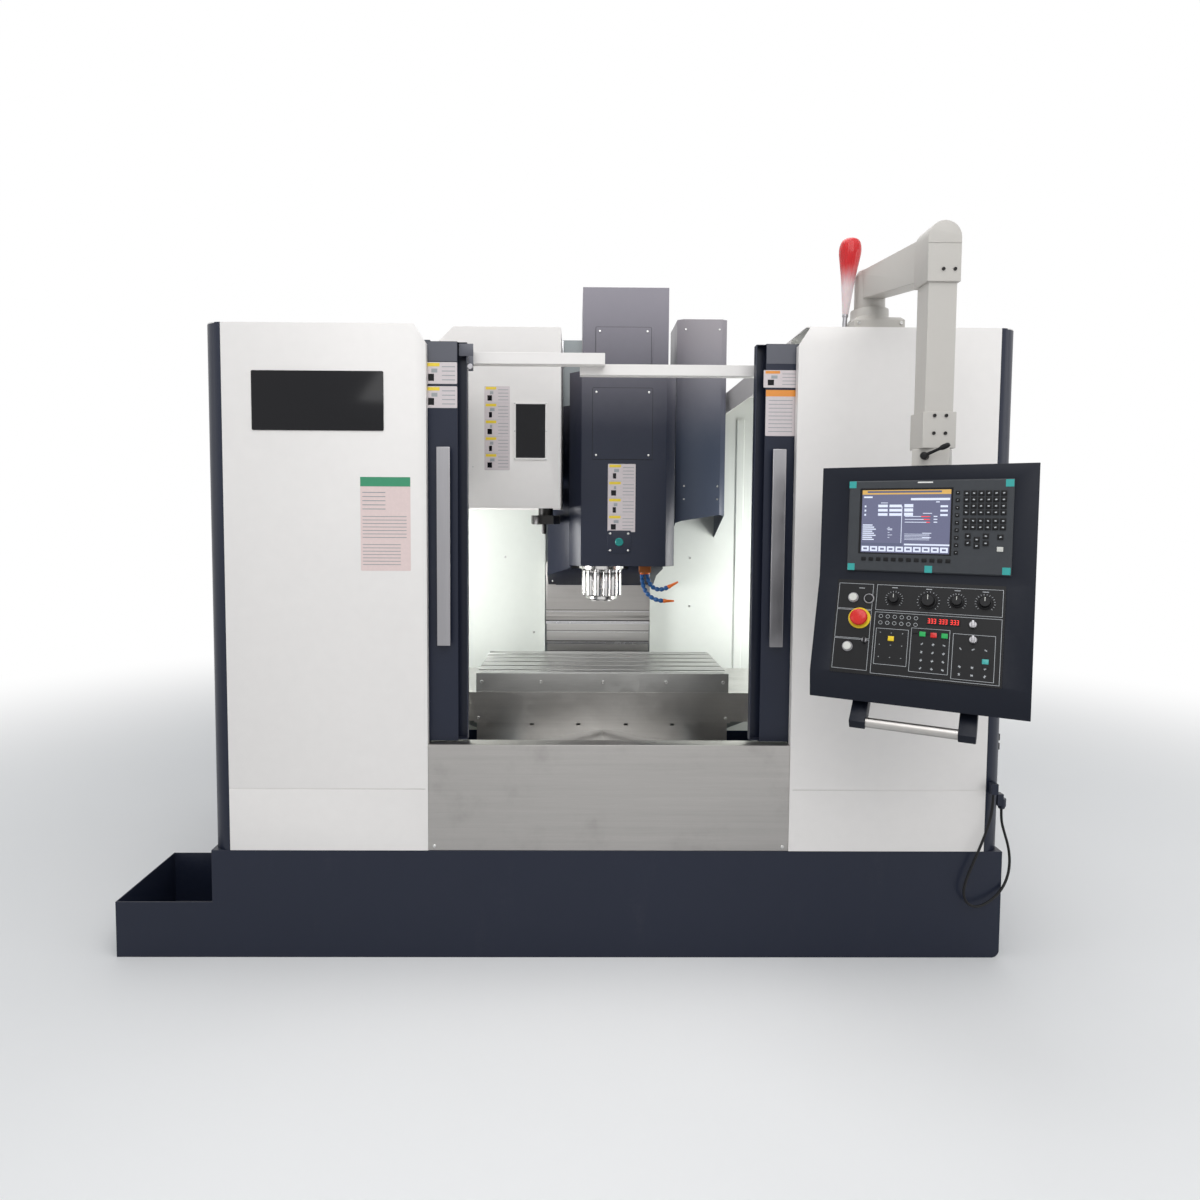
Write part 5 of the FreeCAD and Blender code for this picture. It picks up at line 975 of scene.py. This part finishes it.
def dress_screen():
    """The display with its plain fields and the keys round it."""
    glass = Solid(SCREEN)
    glass.block("gloss_black", -155.6, 69.6, -231.6, -58.4, GLASS - 0.3, GLASS + 0.1)

    def field(paint, u0, u1, v0, v1, lift=0.1):
        glass.block(paint, DISPLAY_LEFT + DISPLAY_WIDE * u0, DISPLAY_LEFT + DISPLAY_WIDE * u1,
                    DISPLAY_FOOT + DISPLAY_HIGH * v0, DISPLAY_FOOT + DISPLAY_HIGH * v1,
                    GLASS + lift, GLASS + 0.2 + lift)

    field("screen_field", 0.0, 1.0, 0.0, 0.93, 0.0)
    field("screen_amber", 0.0, 1.0, 0.93, 1.0, 0.0)
    field("screen_dark", 0.06, 0.9, 0.955, 0.985, 0.2)
    field("screen_dark", 0.0, 0.48, 0.115, 0.155)
    for u0, u1, v0, v1 in ((0.02, 0.12, 0.875, 0.90), (0.56, 0.99, 0.835, 0.87), (0.22, 0.30, 0.79, 0.80),
                           (0.84, 0.88, 0.80, 0.815), (0.46, 0.467, 0.16, 0.74), (0.30, 0.36, 0.375, 0.385),
                           (0.70, 0.80, 0.625, 0.635), (0.70, 0.80, 0.315, 0.325), (0.70, 0.80, 0.245, 0.255),
                           (0.5, 1.0, 0.125, 0.15)):
        field("screen_light", u0, u1, v0, v1)
    for count, u0, u1, longer, v0, high, drop in (
            (3, 0.03, 0.05, 0, 0.725, 0.030, 0.068), (3, 0.19, 0.30, 0, 0.725, 0.042, 0.068),
            (3, 0.32, 0.46, 0, 0.725, 0.042, 0.068), (3, 0.49, 0.59, 0, 0.725, 0.050, 0.068),
            (3, 0.89, 0.97, 0, 0.725, 0.030, 0.068), (3, 0.50, 0.68, 0.03, 0.575, 0.010, 0.045),
            (3, 0.82, 0.86, 0, 0.575, 0.015, 0.045), (5, 0.50, 0.78, 0, 0.30, 0.006, 0.022)):
        for k in range(count):
            field("screen_light", u0, u1 + longer * k, v0 - drop * k, v0 - drop * k + high)
    for k in range(3):
        field("digit_red", 0.68 + k * 0.03, 0.78, 0.575 - k * 0.045, 0.585 - k * 0.045)
    for k in range(8):
        field("screen_light", 0.015, 0.13 + 0.02 * (k % 3), 0.43 - k * 0.033, 0.448 - k * 0.033)
    for k in range(5):
        field("screen_light", 0.31, 0.33 + 0.03 * (k % 2), 0.40 - k * 0.04, 0.408 - k * 0.04)
    for k in range(10):
        field("screen_light", 0.01 + k * 0.099, 0.095 + k * 0.099, 0.02, 0.10)
        field("screen_field", 0.03 + k * 0.099, 0.075 + k * 0.099, 0.045, 0.075, 0.2)
    glass.piece("display", "panel")

    on = BEZEL + 0.1
    pads = [SCREEN.spot(100.5 + c * 16.5, y, on) for y in (-73.5, -89.5, -105.5, -121.5, -142.5, -158.5)
            for c in range(6)]
    pads += [SCREEN.spot(x, y, on) for x, y in ((106.5, -180.5), (126.5, -189.5), (146.5, -180.5),
                                                (126.5, -205.5), (106.5, -198.5), (146.5, -198.5),
                                                (178.5, -182.5))]
    side = [SCREEN.spot(80.5, -223.5 + k * 19.0, on) for k in range(9)]
    soft = [SCREEN.spot(-141.5 + k * 18.6, -245.5, on) for k in range(12)]
    for name, spots, wide, high, thick in (("pad_keys", pads, 13.4, 13.4, 2.5),
                                           ("side_keys", side, 9.6, 9.6, 2.0),
                                           ("soft_keys", soft, 11.6, 9.6, 2.0)):
        set_out(name, "panel", key_cap(wide, high, thick), "key_black", spots)
    for name, spots, size, above, turn, seed in (("pad_marks", pads, (4.6, 3.0), 2.4, 0.5, 11),
                                                 ("side_marks", side, (3.0, 1.2), 1.9, 0.3, 12)):
        raised = [(place + SCREEN.out * above, out, along) for place, out, along in spots]
        set_out(name, "panel", mark(*size), "line_pale", raised, turn, seed)
    tabs = Solid(SCREEN)
    for x, y in ((-175, -48), (195, -49), (-173, -268), (194, -266), (18, -268)):
        tabs.block("card_teal", x - 9, x + 9, y - 9, y + 9, BEZEL, BEZEL + 0.7, corner=1.0)
    tabs.block("key_white", 171.6, 185.4, -218.4, -206.6, BEZEL, BEZEL + 2.7, edge=0.8)
    tabs.block("card_white", -14, 22, -46, -42.5, BEZEL, BEZEL + 0.5)
    tabs.piece("bezel_tabs", "panel")


PLATE = 2.9
PRINT = PLATE + 0.05
STOP_AT = (-142, -112, 0)
DIALS = {"feed_dial": ("dial_feed", -60, -56, 16, 17), "hand_dial": ("dial_hand", 22, -57, 21, 20),
         "speed_dial": ("dial_speed", 88, -54, 16, 17), "mode_dial": ("dial_mode", 151, -53, 17, 17)}
FRAMES = ((-201, -113, -88, -18), (-201, -113, -167, -90), (-201, -113, -250, -169), (-104, 190, -87, -18),
          (-98, -19, -230, -135), (-13, 77, -241, -128), (84, 178, -249, -135), (-104, 190, -255, -92))


def outlines(solid, boxes, wide=0.9):
    """Thin printed frames on the key plate."""
    for x0, x1, y0, y1 in boxes:
        for a0, a1, b0, b1 in ((x0, x1, y0, y0 + wide), (x0, x1, y1 - wide, y1),
                               (x0, x0 + wide, y0 + wide, y1 - wide), (x1 - wide, x1, y0 + wide, y1 - wide)):
            solid.block("line_pale", a0, a1, b0, b1, PLATE, PLATE + 0.25)


def around(x, y, radius, degrees):
    """Spots on the key plate round a centre, each turned to the centre."""
    spots = []
    for angle in map(math.radians, degrees):
        c, s = math.cos(angle), math.sin(angle)
        at = KEYS.spot(x + radius * c, y + radius * s, PRINT)[0]
        spots.append((at, KEYS.out, KEYS.right * c + KEYS.up * s))
    return spots


def dress_buttons():
    """The key plate's print, counters, keys, buttons and selectors."""
    plate = Solid(KEYS)
    outlines(plate, FRAMES)
    for x in (22, 48, 74):
        plate.block("gloss_black", x - 0.6, x + 24.6, -116.6, -99.4, PLATE, 4.6)
        for left in (x + 2.2, x + 9.2, x + 16.2):
            for y in (-114, -108.6, -103.2):
                plate.block("digit_red", left, left + 5.0, y, y + 1.5, 4.5, 4.8)
            plate.block("digit_red", left + 3.6, left + 5.0, -114, -101.7, 4.5, 4.8)
    for paint, x, y in (("key_yellow", -60, -161), ("key_green", 14, -143), ("stop_red", 40, -144),
                        ("key_green", 65, -144), ("card_teal", 158, -200)):
        plate.block(paint, x - 7.3, x + 7.3, y - 6.3, y + 6.3, PLATE, 6.3, edge=0.9)
    plate.lathe("key_yellow", [(13, PLATE), (28, PLATE), (28, 4.0), (26.5, 5.2), (13, 5.2), (13, PLATE)],
                STOP_AT, 56)
    for paint, x, y in (("key_white", -162, -57), ("key_black", -122, -58), ("key_white", -166, -190)):
        plate.lathe("handle_metal", [(0, PLATE), (13.5, PLATE), (13.5, 4.6), (12.4, 6.0), (0, 6.0)],
                    (x, y, 0), 40)
        plate.lathe(paint, [(0, 5.5), (10.4, 5.5), (10.4, 9.4), (9.0, 10.8), (0, 11.2)], (x, y, 0), 40)
    for name, paint, x, y, radius, half, top in (("selector_237", "handle_metal", 127, -110, 9.4, 9.4, 15.4),
                                                 ("selector_277", "handle_metal", 129, -148, 9.4, 9.4, 15.4),
                                                 ("selector_295", "key_black", -125, -170, 7.4, 8.4, 12.4)):
        plate.lathe("handle_metal", [(0, PLATE), (radius, PLATE), (radius, 6.0), (radius - 1.4, 8.2), (0, 8.2)],
                    (x, y, 0), 32)
        knob = Solid(Place(KEYS.spot(x, y)[0], KEYS.right, KEYS.up))
        knob.block(paint, -2.9, 2.9, -half, half, 6.0, top, edge=1.0)
        knob.piece(name, "panel")
    plate.piece("key_print", "panel")


def dress_keys():
    """The dials, the stop button and the small prints of the key plate."""
    ticks = []
    for node, (body, x, y, radius, high) in DIALS.items():
        solid = Solid(KEYS)
        base, top = 3.3, 3.0 + high
        solid.lathe("key_black", [(0, base), (radius, base), (radius, base + 1.6), (radius - 1.2, base + 3.4),
                                  (radius * 0.80, base + 3.6), (radius * 0.76, top - 2.0), (radius * 0.70, top),
                                  (0, top)], (x, y, 0), 96, ribs=24, rib=radius * 0.045)
        solid.lathe("key_black", [(0, -6), (3.9, -6), (3.9, base + 1), (0, base + 1)], (x, y, 0), 20)
        solid.block("key_white", x - 0.8, x + 0.8, y + 1, y + radius * 0.64, top - 0.3, top + 0.5)
        solid.piece(node + "_knob", body, (node,))
        ticks += around(x, y, radius + 4.5, range(-45, 226, 18))

    def printed_on(xs, ys):
        return [KEYS.spot(x, y, PRINT) for x in xs for y in ys]

    names = printed_on((-60, 22, 88, 151), (-25,)) + printed_on((-142,), (-30,))
    symbols = printed_on((14, 40, 65), (-168, -189, -210, -230))
    symbols += printed_on((102, 130, 158), (-172, -217, -236))
    dots = printed_on((-87, -60, -33), (-146, -178, -210))
    for name, size, spots, turn, seed in (("dial_ticks", (3.6, 0.8), ticks, 0.0, 1),
                                          ("dial_names", (14.0, 1.6), names, 0.0, 1),
                                          ("key_symbols", (5.6, 2.6), symbols, 0.9, 14),
                                          ("key_strokes", (1.2, 7.0), symbols, 0.9, 15),
                                          ("key_dots", (2.6, 1.4), dots, 0.8, 16)):
        set_out(name, "panel", mark(*size), "line_pale", spots, turn, seed)
    ring = Solid()
    ring.lathe("line_pale", [(4.0, 0), (4.9, 0), (4.9, 0.2), (4.0, 0.2), (4.0, 0)], sides=20)
    lamps = [KEYS.spot(-89 + c * 17.0, y, PRINT) for y in (-103, -120) for c in range(6)]
    set_out("lamp_rings", "panel", shape_of(ring), "line_pale", lamps)
    stop = Solid(KEYS)
    stop.lathe("stop_red", [(0, -8), (10.9, -8), (10.9, 11), (19, 11), (21.4, 12.4), (22, 14.6), (22, 17.2),
                            (20.9, 20.4), (17.4, 23.0), (10, 24.2), (0, 24.5)], STOP_AT, 64)
    stop.piece("stop_button", "stop", ("emergency_stop",))


def underside(out):
    """Height of the housing's sloping floor below the top of its face."""
    return -614 + 36 * (95 - out) / 155


def dress_handle():
    """The grab bar under the panel, between its two bent arms."""
    solid = Solid(PROFILE_SIDE)
    arm = [(underside(-8), -8), (underside(44), 44), (-664, 112), (-684, 104), (-676, 70)]
    for right in (-152, 105):
        solid.outline("housing_paint", arm, right, right + 40, edge=2.0)
    solid.lathe("stainless", [(0, -139.5), (12, -139.5), (13, -138), (13, 138), (12, 139.5), (0, 139.5)],
                (-668, 92, 0), 44)
    solid.piece("grab_handle", "panel", ("panel_handle",))


def dress_lever():
    """The clamp lever on the panel's swivel."""
    pivot = PANEL_POST - PANEL_RIGHT * 12 + PANEL_UP * 1567
    solid = Solid(Place(pivot, PANEL_RIGHT, PANEL_UP))
    solid.lathe("key_black", [(0, 26), (5.9, 26), (5.9, 38.6), (10, 38.8), (10, 61), (8.6, 64.5), (5, 66),
                              (0, 66)], sides=32)
    foot = pivot + PANEL_OUT * 60
    solid.place = axis_place(foot, foot + PANEL_RIGHT * 0.9 + PANEL_OUT * 0.2 + PANEL_UP * 0.38)
    solid.lathe("key_black", [(0, 0), (4.4, 0), (3.9, 40), (6.4, 46), (7, 52), (6.6, 62), (4, 66.5),
                              (0, 67.5)], sides=24)
    solid.piece("lever_body", "lever", ("clamp_lever",))


def dress_lamp():
    """The signal lamp on its stem, leaning a little."""
    foot = Vector((738, -752, 1985))
    lean = math.radians(3.0)
    solid = Solid(Place(foot, (math.cos(lean), 0, -math.sin(lean)), (0, 1, 0)))
    shell = [(10, 70), (14, 110), (18, 146), (22, 180), (27, 212), (31, 236), (33.4, 252),
             (34, 264), (33, 276), (30, 287), (25, 295), (18, 299.4), (9, 301), (0, 301.2)]
    solid.lathe("lamp_red", [(0, 62), (8.6, 62)] + shell, sides=96, ribs=24, rib=0.9)
    solid.lathe("handle_metal", [(0, 6), (7, 6), (7, 56), (9.2, 58), (9.2, 64), (0, 64)], sides=40)
    solid.piece("lamp_body", "machine", ("signal_lamp",))


def dress_arm():
    """The screws and the seam of the arm that carries the panel."""
    face, plinth = front(ARM_FACE), Place((822, PLINTH_FACE, 0))
    spots = [face.spot(x, z) for x, z in ((819, 2039), (849, 2039), (808, 1670), (838, 1670), (807, 1625),
                                          (837, 1625))]
    set_out("arm_screws", "arm", cap_screw(4.4, 3.2), "black_oxide", spots, 0.6, 21)
    seam = Solid(face)
    seam.block("arm_paint", 779.6, 864.4, 2104, 2107, -0.2, 1.2, edge=0.5)
    seam.piece("elbow_seam", "arm")
    spots = [plinth.spot(x, 2010) for x in (-60, 72)]
    set_out("plinth_screws", "machine", cap_screw(5.0, 4.0), "bright_screw", spots, 0.6, 22)


CABLE_ROUTE = ((1275, -790, 469.6), (1275, -790, 432), (1283, -797, 394), (1292, -808, 352), (1291, -822, 308),
               (1276, -838, 264), (1248, -852, 226), (1209, -859, 194), (1166, -862, 176), (1133, -862, 190),
               (1122, -862, 224), (1130, -861, 264), (1147, -860, 308), (1167, -858, 354), (1187, -856, 404),
               (1204, -854, 454), (1212, -853, 500), (1212, -853, 538.6))


def dress_cable():
    """The power lead that hangs from the corner post in one open loop."""
    curve = smooth_line("power_lead", CABLE_ROUTE)
    curve.bevel_depth = 4.0 * MM
    curve.bevel_resolution = 4
    curve.resolution_u = 10
    curve.use_fill_caps = True
    curve.materials.append(PAINTS["cable_black"])
    lead = riding(bpy.data.objects.new("power_lead", curve), "machine", ("power_cable",))


for dress in (dress_front, dress_magazine, dress_screws, dress_head, dress_z_covers, dress_nose, dress_coolant,
              dress_cable, dress_screen, dress_buttons, dress_keys, dress_handle, dress_lever, dress_lamp,
              dress_arm):
    dress()

EDGE_WIDTHS = {
    0.6: ("arm_sleeve",),
    0.8: ("corner_posts", "electrical_cabinet", "cabinet_door"),
    0.9: ("front_panel_left", "front_panel_right", "lower_front_panel"),
    1.0: ("head_cover", "magazine_cover", "cable_duct", "left_door", "right_door", "arm_base", "work_table",
          "tool_change_gearbox", "change_arm"),
    1.2: ("coolant_base", "panel_swivel", "panel_housing", "top_rails"),
    1.5: ("left_door_handle", "right_door_handle", "swing_arm"),
}
for width, nodes in EDGE_WIDTHS.items():
    for node in nodes:
        softened(node, width)
